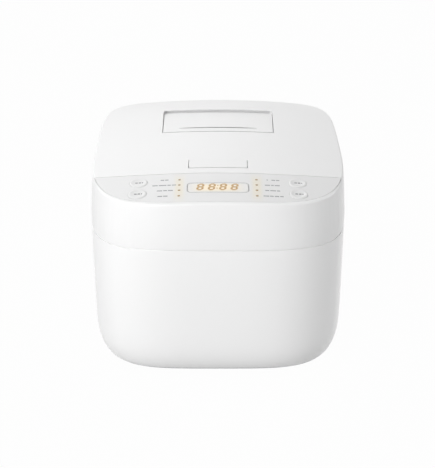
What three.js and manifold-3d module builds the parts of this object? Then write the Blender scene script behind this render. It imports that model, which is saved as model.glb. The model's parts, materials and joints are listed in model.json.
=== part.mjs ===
// An electric rice cooker with a hinged lid, a sloping control panel and a lift-out pot, as an assembly of its pieces.
// Millimetres. X is to the right, Y to the back and Z up; the origin is on the table under the middle of the body.
// From above the body is a superellipse. The lid's top is a dome that falls away to all four sides.
import * as THREE from "three";
import { mergeVertices } from "three/addons/utils/BufferGeometryUtils.js";
import Module from "manifold-3d";

const wasm = await Module();
wasm.setup();

// ---- Driving dimensions ----
const bodyWidth = 254;
const bodyDepth = 312;
const squareness = 4.25; // exponent of the superellipse
const outlineSteps = 32;
const roundSteps = 30; // sides of the large round pieces

const footHeight = 4.7;
const panBottom = 5;
const filletHeight = 35; // the rounding between the underside and the wall
const filletReach = 15;
const wallLean = 1.6; // how far the wall stands in at the top of that rounding
const bellyHeight = 145; // the widest level
const shoulderLean = 2.1; // how far the wall stands in at the front edge of the lid's top
const lidPeak = 202;
const frontDrop = 18; // fall of the dome from its peak to the front edge
const peakY = 30;
const rearDrop = 9.3; // fall of the dome from its peak to the rear edge
const sideDrop = 5.5; // fall of the dome from the middle to the side
const crown = 57; // the smaller, the more the dome bends along its middle
const shoulderRadius = 2;
const wall = 2.5;
const fitGap = 0.5; // between pieces that fit inside each other
const restGap = 0.3; // between pieces that rest on each other

const shellBottom = 8;
const shellTop = 137;
const seamGap = 1;
const deckDrop = 1; // the deck lies this far below the shell's top
const deckSkirt = 8;

const potY = -6; // middle of the pot
const potRadius = 101;
const potWall = 1.8;
const potBottom = 32;
const potCorner = 22;
const potLip = 7.5; // how far the pot's lip reaches out
const lipThickness = 2;

const shroudGap = 1.6; // between the pot and the heat shroud
const shroudWall = 1;
const shroudBottom = 14;
const heaterInset = 17; // from the pot's wall to the heating plate's edge
const heaterThickness = 9.5;
const elementInset = 26; // from the plate's edge to the element
const elementTube = 2.8;
const sensorRadius = 14;
const sensorTravel = 2;
const legInset = 12;

const pivotInset = 11; // the hinge's axis stands this far inside the rear wall
const pivotRise = 9.5; // and this far above the seam
const hingePinRadius = 2.5;
const knuckleRadius = 7;
const reliefRadius = 10; // the lid's lower rear edge, rounded about the hinge's axis
const armInner = 24; // the lid's hinge arms reach from here
const earInner = 44; // to the body's ears, which start here
const earOuter = 60;

const capHalfWidth = 57.2; // at the steam cap's front
const capRearHalfWidth = 58.8;
const capFront = 10.3;
const capBack = 91;
const capSink = 3; // the steam cap's rear edge lies this far below the dome
const pocketDepth = 24; // the steam cap's pocket, below the dome's peak
const capDepth = 11; // the cap's cover, down to the joint with its base
const ventY = 25;
const ventLength = 80;
const ventWidth = 1.8;
const tubeY = 46;
const tubeBore = 6.5;
const tubeWall = 2;

const panelDepth = 60; // from the body's front to the joint line behind the control panel
const panelInset = 5.8; // from the body's widest outline to the panel's front edge
const panelSideInset = 3.4; // and to its sides
const panelThickness = 1.8;
const panelMiddle = 31.5; // these places on the panel are distances from the body's front
const keyInset = 51; // from the widest outline to a key's middle, along X
const keyRows = [44.2, 23.1];
const keyRadius = 8.8;
const keyProud = 0.7;
const keyTravel = 0.8;
const lampX = 36.8;
const lampRows = [47.7, 37.5, 27.4, 17.2];
const lampRadius = 0.9;
const windowHalfWidth = 28.8;
const windowHalfDepth = 8.5;
const windowCorner = 4;
const boardDrop = 11.5; // from the panel's face to the control board
const boardHalfWidth = 88;
const boardHalfDepth = 20;
const moduleHalfWidth = 31;
const switchHeight = 4.8; // from the board to the top of a key's switch
const powerBoardHeight = 62;

const buttonHalfWidth = 28.4;
const buttonOffset = 72.5; // from the body's front to the button
const buttonDepth = 17;
const buttonPivotDepth = 6.3; // below the dome
const buttonPusher = 8.3; // how far the button's pusher reaches below the dome
const buttonPinRadius = 1.2;
const latchOffset = 15.5; // from the front of the liner's recess back to the latch's pin
const latchShare = 0.385; // the pin's height, as a share of the room above the liner's roof
const latchHalfWidth = 10;
const latchPinRadius = 1.5;
const hookThickness = 3.4;
const catchGap = 7.9; // from the heat shroud forward to the catch

const footInset = 47; // from the widest outline to a foot's middle, along X
const footRadius = 9;
const postX = 60;
const postInset = 44; // from the widest outline to a screw post, along Y
const postRadius = 5;
const postHeight = 62;
const inletZ = 52;
const inletHalfWidth = 15;
const inletHalfHeight = 11;
const inletDepth = 23;

// ---- Levels and places that follow from them ----
const halfWidth = bodyWidth / 2;
const halfDepth = bodyDepth / 2;
const frontEdgeHeight = lidPeak - frontDrop;
const keyX = halfWidth - keyInset;
const footX = halfWidth - footInset;
const footY = halfDepth - footInset - footRadius;
const postY = halfDepth - postInset;
const lidBottom = shellTop + seamGap;
const deckTop = shellTop - deckDrop;
const deckUnder = deckTop - wall;
const lipUnder = deckTop + restGap;
const lipTop = lipUnder + lipThickness;
const pivotY = halfDepth - pivotInset;
const pivotZ = lidBottom + pivotRise;
const linerBottom = lidBottom + 2;
const recessTop = linerBottom + 10;
const recessRadius = potRadius + 4.5;
const linerRadius = recessRadius + 2;
const roofTop = recessTop + 2;
const gasketBottom = lipTop + restGap;
const innerPlateBottom = linerBottom + 4.5;
const shroudInner = potRadius + shroudGap;
const shroudOuter = shroudInner + shroudWall;
const shroudFloor = shroudBottom + shroudWall;
const heaterRadius = potRadius - heaterInset;
const legRadius = heaterRadius - legInset;
const elementRadius = heaterRadius - elementInset;
const heaterTop = potBottom - restGap;
const heaterBottom = heaterTop - heaterThickness;
const panTop = panBottom + wall;
const pocketFloor = lidPeak - pocketDepth;
const pocketUnder = pocketFloor - wall;
const capSkirt = lidPeak - capDepth;
const forwardFall = frontDrop / (halfDepth + peakY) ** 2;
const rearwardFall = rearDrop / (halfDepth - peakY) ** 3;
const sidewaysFall = sideDrop / (Math.hypot(halfWidth, crown) - crown);
const fallAlong = (back) => (back < 0 ? forwardFall * back ** 2 : rearwardFall * back ** 3);
const dome = (x, y) => lidPeak - fallAlong(y - peakY) - sidewaysFall * (Math.hypot(x, crown) - crown);
const panelLineY = panelDepth - halfDepth;
const panelMidY = panelMiddle - halfDepth;
const buttonFront = buttonOffset - halfDepth;
const buttonBack = buttonFront + buttonDepth;
const buttonPivotY = buttonBack - 3.5;
const buttonPivotZ = dome(0, buttonPivotY) - buttonPivotDepth;
const pusherTip = dome(0, buttonFront) - buttonPusher;
const latchY = potY - linerRadius + latchOffset;
const latchZ = roofTop + latchShare * (dome(0, latchY) - roofTop);
const catchY = potY - shroudOuter - catchGap; // the catch's front face
const sides = [["left", -1], ["right", 1]];

// ---- Materials ----
const finish = (color, roughness, metalness = 0) =>
  new THREE.MeshStandardMaterial({ color, roughness, metalness });
const whiteGloss = finish(0xf2f2f0, 0.3);
const whiteSatin = finish(0xececea, 0.45);
const greyPlastic = finish(0xb9bbbd, 0.5);
const darkPlastic = finish(0x2d2e30, 0.55);
const paleLens = finish(0xd8d8e0, 0.15);
const amberLens = finish(0xf0a830, 0.3);
const rubber = finish(0x3a3b3d, 0.85);
const silicone = finish(0xd9d9d6, 0.6);
const aluminium = finish(0xc4c6c8, 0.35, 0.9);
const steel = finish(0xa9abae, 0.3, 1);
const brass = finish(0xc6a35a, 0.35, 1);
const potCoating = finish(0x3b3c3e, 0.4);
const circuitBoard = finish(0x2f6b3d, 0.6);

// ---- Joining and cutting ----
// A closed geometry as a manifold-3d solid. Faces that shrink to a line at a pole are left out.
function solid(made) {
  if (!made.isBufferGeometry) return made;
  made.deleteAttribute("normal");
  made.deleteAttribute("uv");
  const merged = mergeVertices(made, 1e-4);
  const index = merged.index.array;
  const triVerts = [];
  for (let i = 0; i < index.length; i += 3) {
    const [a, b, c] = index.slice(i, i + 3);
    if (a !== b && b !== c && c !== a) triVerts.push(a, b, c);
  }
  return new wasm.Manifold(new wasm.Mesh({
    numProp: 3,
    vertProperties: merged.attributes.position.array,
    triVerts: new Uint32Array(triVerts),
  }));
}

const join = (first, ...rest) => rest.reduce((made, next) => made.add(solid(next)), solid(first));
const cut = (first, ...rest) => rest.reduce((made, next) => made.subtract(solid(next)), solid(first));
const common = (first, second) => solid(first).intersect(solid(second));

const cooker = new THREE.Group();

// Adds a named piece to the assembly.
function piece(name, made, material) {
  const mesh = solid(made).getMesh();
  const geometry = new THREE.BufferGeometry();
  geometry.setAttribute("position", new THREE.BufferAttribute(mesh.vertProperties, 3));
  geometry.setIndex(new THREE.BufferAttribute(mesh.triVerts, 1));
  const added = new THREE.Mesh(geometry, material);
  added.name = name;
  cooker.add(added);
}

// ---- Shapes ----
// A block between two corners.
function block(x1, x2, y1, y2, z1, z2) {
  const made = new THREE.BoxGeometry(x2 - x1, y2 - y1, z2 - z1);
  return made.translate((x1 + x2) / 2, (y1 + y2) / 2, (z1 + z2) / 2);
}

// A block with the steam cap's outline, set in by an amount.
function capBlock(inset, z1, z2) {
  const [front, back] = [capHalfWidth - inset, capRearHalfWidth - inset];
  const corners = [[-front, capFront + inset], [front, capFront + inset], [back, capBack - inset],
    [-back, capBack - inset]];
  const shape = new THREE.Shape(corners.map(([x, y]) => new THREE.Vector2(x, y)));
  return new THREE.ExtrudeGeometry(shape, { depth: z2 - z1, bevelEnabled: false }).translate(0, 0, z1);
}

// An upright round bar.
function post(radius, x, y, z1, z2, steps = 12) {
  const made = new THREE.CylinderGeometry(radius, radius, z2 - z1, steps);
  return made.rotateX(Math.PI / 2).translate(x, y, (z1 + z2) / 2);
}

// A round bar along X.
function bar(radius, x1, x2, y, z, steps = 18) {
  const made = new THREE.CylinderGeometry(radius, radius, x2 - x1, steps);
  return made.rotateZ(Math.PI / 2).translate((x1 + x2) / 2, y, z);
}

// A turned piece about an upright axis, from [radius, height] points: outside upwards, inside downwards.
function turned(profile, x = 0, y = potY, steps = roundSteps) {
  const points = profile.map(([r, z]) => new THREE.Vector2(r, z));
  return new THREE.LatheGeometry(points, steps).rotateX(Math.PI / 2).translate(x, y, 0);
}

// An upright tube.
function tube(inner, outer, x, y, z1, z2, steps = roundSteps) {
  return turned([[inner, z1], [outer, z1], [outer, z2], [inner, z2], [inner, z1]], x, y, steps);
}

// An outline of [y, z] points as a slice from x1 to x2.
function slice(outline, x1, x2) {
  const shape = new THREE.Shape(outline.map(([y, z]) => new THREE.Vector2(y, z)));
  const made = new THREE.ExtrudeGeometry(shape, { depth: x2 - x1, bevelEnabled: false });
  return made.rotateX(Math.PI / 2).rotateZ(Math.PI / 2).translate(x1, 0, 0);
}

// A flat block with rounded upright edges, centred on the Z axis.
function rounded(halfLong, halfShort, radius, z1, z2) {
  const [u, v] = [halfLong - radius, halfShort - radius];
  const shape = new THREE.Shape();
  [[u, -v], [u, v], [-u, v], [-u, -v]].forEach(([x, y], i) =>
    shape.absarc(x, y, radius, ((i - 1) * Math.PI) / 2, (i * Math.PI) / 2));
  const made = new THREE.ExtrudeGeometry(shape, { depth: z2 - z1, bevelEnabled: false, curveSegments: 3 });
  return made.translate(0, 0, z1);
}

// A coil spring about +Z, from its foot at the origin.
function coil(radius, wire, length, turns) {
  const points = [];
  for (let i = 0; i <= turns * 8; i++) {
    const angle = (i * Math.PI) / 4;
    const height = wire + ((length - 2 * wire) * i) / (turns * 8);
    points.push(new THREE.Vector3(radius * Math.cos(angle), radius * Math.sin(angle), height));
  }
  const shape = new THREE.Shape();
  shape.absarc(0, 0, wire, 0, 2 * Math.PI);
  const path = new THREE.CatmullRomCurve3(points);
  const settings = { steps: turns * 8, curveSegments: 2, extrudePath: path, bevelEnabled: false };
  return new THREE.ExtrudeGeometry(shape, settings);
}

// ---- The body's form ----
const power = (share) => Math.sign(share) * Math.abs(share) ** (2 / squareness);

// How far the wall stands in from the widest outline at a height.
function lean(z) {
  const filletTop = panBottom + filletHeight;
  if (z < filletTop) {
    const depth = (filletTop - Math.max(z, panBottom)) / filletHeight;
    return wallLean + filletReach * (1 - Math.sqrt(1 - depth * depth));
  }
  if (z < bellyHeight) {
    return wallLean * ((bellyHeight - z) / (bellyHeight - filletTop)) ** 1.6;
  }
  return shoulderLean * ((z - bellyHeight) / (frontEdgeHeight - bellyHeight)) ** 1.5;
}

// A point on the outline, set in by an amount. The direction is given by its shares across and along.
const outline = (inset, across, along) => [(halfWidth - inset) * across, (halfDepth - inset) * along];

// A closed solid of rings, bottom to top. Each ring is a function of the direction that returns a point.
function ringed(rings) {
  const last = rings.length - 1;
  const profile = rings.map((_, i) => new THREE.Vector2(i === 0 || i === last ? 0 : 1, i));
  const made = new THREE.LatheGeometry(profile, outlineSteps).rotateX(Math.PI / 2);
  const place = made.attributes.position;
  for (let i = 0; i < place.count; i++) {
    const turn = (Math.floor(i / rings.length) * 2 * Math.PI) / outlineSteps;
    place.setXYZ(i, ...rings[i % rings.length](power(Math.sin(turn)), power(-Math.cos(turn))));
  }
  return made;
}

// The body up to a level, as one solid, with its wall set in.
function bodyBlock(inset, levels) {
  const rings = levels.map((z) => (across, along) => [...outline(inset + lean(z), across, along), z]);
  return ringed([() => [0, 0, levels[0]], ...rings, () => [0, 0, levels.at(-1)]]);
}

// A flat plate with the body's outline, set in from the widest level. Its sides can have an inset of their own.
function plate(inset, z1, z2, sideInset = inset) {
  const edge = (across, along) => [outline(sideInset, across, along)[0], outline(inset, across, along)[1]];
  return ringed([
    () => [0, 0, z1],
    (across, along) => [...edge(across, along), z1],
    (across, along) => [...edge(across, along), z2],
    () => [0, 0, z2],
  ]);
}

// The lid as one solid up to its dome, with its wall set in and its dome lowered.
function lidBlock(inset, drop, bottom) {
  const edge = (x, y) => dome(x, y) - drop - shoulderRadius;
  const edgeAt = (across, along) => edge(...outline(inset + shoulderLean, across, along));
  const wallRing = (share) => (across, along) => {
    const z = bottom + share * (edgeAt(across, along) - bottom);
    return [...outline(inset + lean(z), across, along), z];
  };
  const shoulderPoint = (across, along, angle) => {
    const back = shoulderRadius * (1 - Math.cos(angle));
    return outline(inset + lean(edgeAt(across, along)) + back, across, along);
  };
  const shoulderRing = (angle) => (across, along) => {
    const [x, y] = shoulderPoint(across, along, angle);
    return [x, y, edge(x, y) + shoulderRadius * Math.sin(angle)];
  };
  const domeRing = (share) => (across, along) => {
    const [x, y] = shoulderPoint(across, along, Math.PI / 2).map((value) => value * share);
    return [x, y, dome(x, y) - drop];
  };
  return ringed([
    () => [0, 0, bottom],
    ...[0, 0.5, 1].map(wallRing),
    ...[45, 90].map((degrees) => shoulderRing((degrees * Math.PI) / 180)),
    ...[0.8, 0.4, 0].map(domeRing),
  ]);
}

// Moves a geometry built about +Z onto the front of the lid's top at (x, y), standing square to the surface.
function onTop(made, x, y) {
  const slope = [(sidewaysFall * x) / Math.hypot(x, crown), 2 * forwardFall * (y - peakY)];
  const normal = new THREE.Vector3(...slope, 1).normalize();
  const turn = new THREE.Quaternion().setFromUnitVectors(new THREE.Vector3(0, 0, 1), normal);
  return made.applyQuaternion(turn).translate(x, y, dome(x, y));
}

// ---- Base: shell, pan, feet and screws ----
const shellLevels = [shellBottom, 10.5, 14, 20, 28, 40, 85, shellTop];
const pillars = [];
const pilotHoles = [];
const panBosses = [];
const panHoles = [];
for (const [, x] of sides) {
  for (const y of [-1, 1]) {
    const [px, py] = [x * postX, y * postY];
    pillars.push(post(postRadius, px, py, panTop + 3, postHeight));
    const ribEnd = y * halfDepth;
    pillars.push(block(px - 1.2, px + 1.2, Math.min(py, ribEnd), Math.max(py, ribEnd), 16, postHeight - 2));
    pilotHoles.push(post(2.3, px, py, panTop, 30, 10));
    panBosses.push(post(7, px, py, panTop - 1, panTop + 2.6, 10));
    panHoles.push(post(4.3, px, py, panBottom - 1, panTop + 0.6, 10));
    panHoles.push(post(2.5, px, py, panTop, panTop + 4, 8));
    panHoles.push(post(3.4, x * footX, y * footY, panBottom - 1, panTop + 1, 10));
  }
}
const inletHole = block(
  -inletHalfWidth - restGap, inletHalfWidth + restGap, halfDepth - 12, halfDepth + 4,
  inletZ - inletHalfHeight - restGap, inletZ + inletHalfHeight + restGap,
);
const innerLevels = [shellBottom - 1, ...shellLevels.slice(1, -1), shellTop + 1];
const shellHollow = bodyBlock(wall, innerLevels);
const pillarSpace = bodyBlock(wall / 2, innerLevels);
const pillarSet = common(join(...pillars), pillarSpace);
piece("outer_shell", cut(join(cut(bodyBlock(0, shellLevels), shellHollow), pillarSet), inletHole, ...pilotHoles),
  whiteGloss);

const panRim = cut(
  bodyBlock(wall + fitGap, [panTop - 0.5, 11]), bodyBlock(2 * wall + fitGap, [panTop - 1, 12]));
const panPlate = bodyBlock(0, [panBottom, 5.8, shellBottom - restGap]);
const ventSlots = [];
for (const [, x] of sides) {
  for (let row = -2; row <= 2; row++) {
    ventSlots.push(block(x * 34 - 16, x * 34 + 16, row * 11 - 2, row * 11 + 2, panBottom - 1, panTop + 1));
  }
}
const shroudPosts = [];
const legs = [];
for (let i = 0; i < 3; i++) {
  const angle = Math.PI / 2 + (i * 2 * Math.PI) / 3;
  const [x, y] = [legRadius * Math.cos(angle), potY + legRadius * Math.sin(angle)];
  shroudPosts.push(post(6, x, y, panTop - 0.5, shroudBottom - restGap));
  legs.push([x, y]);
}
piece("base_pan", cut(join(panPlate, panRim, ...panBosses, ...shroudPosts), ...panHoles, ...ventSlots), greyPlastic);

let corner = 1;
for (const y of [-1, 1]) {
  for (const x of [-1, 1]) {
    const [fx, fy] = [x * footX, y * footY];
    const profile = [[0, 0], [footRadius - 1, 0], [footRadius, 1], [footRadius, footHeight], [3, footHeight],
      [3, 9], [0, 9]];
    piece(`foot_${corner}`, turned(profile, fx, fy, 14), rubber);
    const [sx, sy] = [x * postX, y * postY];
    const screw = [[0, 5.7], [3.6, 5.7], [3.6, panTop + 0.3], [2, panTop + 0.3], [2, 26], [0, 26]];
    const driver = join(
      block(sx - 2, sx + 2, sy - 0.4, sy + 0.4, 5, 6.7),
      block(sx - 0.4, sx + 0.4, sy - 2, sy + 2, 5, 6.7),
    );
    piece(`base_screw_${corner}`, cut(turned(screw, sx, sy, 10), driver), steel);
    corner++;
  }
}

// ---- Deck with the hinge's ears ----
const deckInset = lean(deckTop) + wall + fitGap;
const ears = [];
for (const [, x] of sides) {
  const [x1, x2] = x < 0 ? [-earOuter, -earInner] : [earInner, earOuter];
  ears.push(bar(knuckleRadius, x1, x2, pivotY, pivotZ));
  ears.push(block(x1, x2, pivotY - knuckleRadius + 1, pivotY + knuckleRadius - 2, deckUnder, pivotZ));
}
const hookSlot = (z) =>
  block(-latchHalfWidth - 2, latchHalfWidth + 2, catchY - 10, catchY - 0.1, z - 1, z + wall + 1);
piece("deck_ring", cut(
  join(
    cut(plate(deckInset, deckUnder - deckSkirt, deckTop), plate(deckInset + 2, deckUnder - deckSkirt - 1, deckUnder)),
    ...ears,
  ),
  post(shroudOuter + restGap, 0, potY, deckUnder - 1, deckTop + 1, roundSteps),
  bar(hingePinRadius + restGap, -70, 70, pivotY, pivotZ, 12),
  hookSlot(deckUnder),
), greyPlastic);
piece("latch_catch",
  block(-latchHalfWidth - 1, latchHalfWidth + 1, catchY, catchY + 3, deckUnder - 4, deckUnder - restGap), steel);
piece("hinge_pin", bar(hingePinRadius, -earOuter - 1, earOuter + 1, pivotY, pivotZ, 12), steel);
const hingeCoil = coil(3.7, 0.6, 2 * armInner - 4, 6).rotateY(Math.PI / 2);
piece("hinge_spring", hingeCoil.translate(2 - armInner, pivotY, pivotZ), steel);

// ---- Heating: shroud, plate, element and sensor ----
piece("heat_shroud", cut(turned([
  [0, shroudBottom], [shroudOuter - 8, shroudBottom], [shroudOuter, shroudBottom + 8],
  [shroudOuter, deckUnder - restGap - shroudWall], [shroudOuter + 4.5, deckUnder - restGap - shroudWall],
  [shroudOuter + 4.5, deckUnder - restGap], [shroudInner, deckUnder - restGap],
  [shroudInner, shroudFloor + 7.5], [shroudInner - 7.5, shroudFloor], [0, shroudFloor],
]), post(5, 40, potY, shroudBottom - 1, shroudFloor + 1)), aluminium);
piece("heating_plate", cut(turned([
  [sensorRadius + 1, heaterBottom], [heaterRadius - 12, heaterBottom], [heaterRadius, heaterTop - 2.5],
  [heaterRadius, heaterTop], [sensorRadius + 1, heaterTop], [sensorRadius + 1, heaterBottom],
]), ...legs.map(([x, y]) => post(2.3, x, y, heaterBottom - 1, heaterBottom + 5, 10))), aluminium);
const element = new THREE.TorusGeometry(elementRadius, elementTube, 8, roundSteps);
piece("heating_element", element.translate(0, potY, heaterBottom - elementTube - restGap), steel);
legs.forEach(([x, y], i) => {
  const shaft = [[0, shroudFloor + restGap], [5, shroudFloor + restGap], [5, heaterBottom - restGap],
    [2, heaterBottom - restGap], [2, heaterBottom + 4], [0, heaterBottom + 4]];
  piece(`plate_leg_${i + 1}`, turned(shaft, x, y, 12), steel);
});
piece("thermal_fuse", bar(2.6, -12, 12, potY - 32, heaterBottom - 3.2, 12), brass);
const sensorTop = potBottom - restGap;
const guideFoot = shroudFloor + restGap;
piece("sensor_guide", turned([
  [0, guideFoot], [11, guideFoot], [11, guideFoot + 1.2], [5, guideFoot + 1.2], [5, 25.5], [0, 25.5],
], 0, potY, 20), aluminium);
const sensorCoil = coil(7.4, 0.8, sensorTop - 2.5 - guideFoot - 1.8, 4);
piece("sensor_spring", sensorCoil.translate(0, potY, guideFoot + 1.5), steel);
piece("sensor_cap", turned([
  [sensorRadius - 2, 18.6], [sensorRadius, 18.6], [sensorRadius, sensorTop - 1], [sensorRadius - 1, sensorTop],
  [0, sensorTop], [0, sensorTop - 2.2], [sensorRadius - 2, sensorTop - 2.2], [sensorRadius - 2, 18.6],
], 0, potY, 24), aluminium);

// ---- Mains: inlet and power board ----
const inletFront = halfDepth - wallLean - 0.2;
const inletBack = inletFront - inletDepth;
const socketWall = 2;
const pinX = 7;
const pinRows = [[-pinX, inletZ - 2], [0, inletZ + 3], [pinX, inletZ - 2]];
piece("inlet_housing", cut(
  join(
    block(-inletHalfWidth, inletHalfWidth, inletBack, inletFront, inletZ - inletHalfHeight, inletZ + inletHalfHeight),
    block(-inletHalfWidth - 5, inletHalfWidth + 5, inletFront - 6.5, inletFront - 4, inletZ - inletHalfHeight - 5,
      inletZ + inletHalfHeight + 5),
  ),
  block(socketWall - inletHalfWidth, inletHalfWidth - socketWall, inletBack + 5, inletFront + 1,
    inletZ - inletHalfHeight + socketWall, inletZ + inletHalfHeight - socketWall),
  ...pinRows.map(([x, z]) => block(x - 1.4, x + 1.4, inletBack - 1, inletBack + 6, z - 2.4, z + 2.4)),
), darkPlastic);
pinRows.forEach(([x, z], i) => {
  piece(`inlet_pin_${i + 1}`, block(x - 1, x + 1, inletBack - 6, inletFront - 3, z - 2, z + 2), brass);
});
const boardY = potY - shroudOuter - 19.4;
const boardFoot = panTop + 16.5;
const boardX = postX - postRadius - 7;
const onBoard = (x, z, width, depth, height) =>
  block(x - width / 2, x + width / 2, boardY + 1.5, boardY + 1.5 + depth, boardFoot + z, boardFoot + z + height);
piece("power_board", join(
  block(-boardX, boardX, boardY, boardY + 1.6, boardFoot, boardFoot + powerBoardHeight),
  onBoard(-28, 20, 24, 13.5, 26), // transformer
  onBoard(12, 28, 19, 11.5, 14), // relay
  onBoard(31, 14, 6, 8.5, 20), // capacitor
), circuitBoard);
piece("board_bracket", join(
  block(-boardX - 4, boardX + 4, boardY - 2.4, boardY - restGap, boardFoot - 3, boardFoot + 12),
  block(-boardX - 4, boardX + 4, boardY - 2.4, boardY + 14, boardFoot - 3, boardFoot - restGap),
  ...sides.map(([, x]) =>
    block(x * boardX - 4, x * boardX + 4, boardY + 8, boardY + 14, panTop + restGap, boardFoot - 1)),
), greyPlastic);

// ---- Pot ----
const bend = (cx, cz, r, from, to, steps) => {
  const points = [];
  for (let i = 0; i <= steps; i++) {
    const angle = ((from + ((to - from) * i) / steps) * Math.PI) / 180;
    points.push([cx + r * Math.cos(angle), cz + r * Math.sin(angle)]);
  }
  return points;
};
const cornerAt = [potRadius - potCorner, potBottom + potCorner];
piece("inner_pot", turned([
  [0, potBottom], ...bend(...cornerAt, potCorner, -90, 0, 4), [potRadius, lipUnder],
  [potRadius + potLip - 0.6, lipUnder], [potRadius + potLip, lipUnder + 0.7], [potRadius + potLip - 0.6, lipTop],
  [potRadius + 1.5, lipTop], [potRadius - potWall, lipTop - 2.4],
  ...bend(...cornerAt, potCorner - potWall, 0, -90, 4), [0, potBottom + potWall],
], 0, potY, 32), potCoating);

// ---- Lid: cover, panel and liner ----
const pocketGap = 0.6;
const pocket = (outside, z1) => capBlock(-outside, z1, lidPeak + 2);
const lidForm = solid(lidBlock(0, 0, lidBottom));
const panelLid = solid(lidBlock(0, panelThickness + restGap, lidBottom));
const inFront = (line) => block(-halfWidth, halfWidth, -halfDepth, line, lidBottom, lidPeak);
const panelPlate = (gap) => plate(panelInset - gap, lidBottom, lidPeak, panelSideInset - gap);
const panelSpace = (gap) => common(panelPlate(gap), inFront(panelLineY + gap));
const keyPlaces = sides.flatMap(([side, x]) => keyRows.map((y, row) => [side, row, x * keyX, y - halfDepth]));
const rearRelief = cut(
  block(-halfWidth, halfWidth, pivotY, halfDepth + 2, lidBottom - 2, pivotZ),
  bar(reliefRadius, -halfWidth - 1, halfWidth + 1, pivotY, pivotZ, 32),
);
const earNotches = sides.map(([, x]) => {
  const [x1, x2] = x < 0 ? [-earOuter - 0.8, 0.6 - earInner] : [earInner - 0.6, earOuter + 0.8];
  return block(x1, x2, pivotY - knuckleRadius - 1.6, halfDepth + 2, lidBottom - 2, pivotZ + knuckleRadius + 1.6);
});
const buttonSpace = block(-buttonHalfWidth - fitGap, buttonHalfWidth + fitGap, buttonFront - fitGap,
  buttonBack + fitGap, latchZ, lidPeak);
const lugX = buttonHalfWidth + 3.1;
const buttonLugs = sides.map(([, x]) =>
  block(x * lugX - 1.8, x * lugX + 1.8, buttonPivotY - 4, buttonPivotY + 4, buttonPivotZ - 3.5, lidPeak));
const skin = cut(lidForm, lidBlock(wall, 3.2, lidBottom - 1));
piece("lid_cover", cut(
  join(skin, common(join(pocket(wall, pocketUnder), ...buttonLugs), lidForm)),
  pocket(pocketGap, pocketFloor),
  post(tubeBore + tubeWall + fitGap, 0, tubeY, pocketUnder - 1, pocketFloor + 1),
  cut(panelSpace(fitGap), panelLid),
  common(plate(panelInset + 6, lidBottom, lidPeak), inFront(panelLineY - 4)),
  ...keyPlaces.map(([, , x, y]) => onTop(post(keyRadius + 1.6, 0, 0, -8, 1), x, y)),
  buttonSpace,
  bar(buttonPinRadius + restGap, -lugX - 5, lugX + 5, buttonPivotY, buttonPivotZ, 10),
  rearRelief,
  ...earNotches,
), whiteSatin);

const fasciaBody = cut(common(lidForm, panelSpace(0)), lidBlock(0, panelThickness, lidBottom - 1));
const windowBlock = (gap) =>
  rounded(windowHalfWidth + gap, windowHalfDepth + gap, windowCorner + gap, -5, 3);
const lampPlaces = sides.map(([, x]) => lampRows.map((y) => [x * lampX, y - halfDepth]));
piece("panel_fascia", cut(
  fasciaBody,
  ...keyPlaces.map(([, , x, y]) => onTop(post(keyRadius + 0.4, 0, 0, -5, 3, 16), x, y)),
  ...lampPlaces.flat().map(([x, y]) => onTop(post(lampRadius + restGap, 0, 0, -5, 3, 8), x, y)),
  onTop(windowBlock(restGap), 0, panelMidY),
), whiteSatin);
piece("display_window", common(fasciaBody, onTop(windowBlock(0), 0, panelMidY)), paleLens);
piece("display_module", onTop(
  block(-moduleHalfWidth, moduleHalfWidth, -9.4, 9.4, restGap - boardDrop, -panelThickness - 1.2), 0, panelMidY),
  darkPlastic);
const boardPlate = onTop(
  block(-boardHalfWidth, boardHalfWidth, -boardHalfDepth, boardHalfDepth, -boardDrop - 1.6, -boardDrop), 0, panelMidY);
const switchTop = switchHeight - boardDrop;
const switches = keyPlaces.map(([, , x, y]) => onTop(block(-3, 3, -3, 3, 1 - boardDrop, switchTop), x, y));
const latchNotch = onTop(block(-latchHalfWidth - 3, latchHalfWidth + 3, 9.9, 30, -boardDrop - 3, 0), 0, panelMidY);
const boardSpace = plate(panelInset + 6, lidBottom, lidPeak);
piece("control_board", cut(common(join(boardPlate, ...switches), boardSpace), latchNotch), circuitBoard);
sides.forEach(([side], i) => {
  const stem = ([x, y]) => onTop(post(lampRadius, 0, 0, -3.6, 0.1, 8), x, y);
  const x = lampPlaces[i][0][0];
  const rail = onTop(block(-1.8, 1.8, -16, 17.5, -4.4, -2.5), x, panelMidY);
  piece(`lamp_guide_${side}`, join(rail, ...lampPlaces[i].map(stem)), amberLens);
});
const stemTip = switchTop + keyTravel + restGap;
for (const [side, row, x, y] of keyPlaces) {
  piece(`key_${side}_${row === 0 ? "upper" : "lower"}`, onTop(turned([
    [0, stemTip], [2.4, stemTip], [2.4, -3.6], [keyRadius + 0.7, -3.6],
    [keyRadius + 0.7, -panelThickness - 0.4], [keyRadius, -panelThickness - 0.4], [keyRadius, keyProud - 0.6],
    [keyRadius - 0.8, keyProud], [keyRadius * 0.5, keyProud - 0.7], [0, keyProud - 0.8],
  ], 0, 0, 16), x, y), whiteSatin);
}

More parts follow.
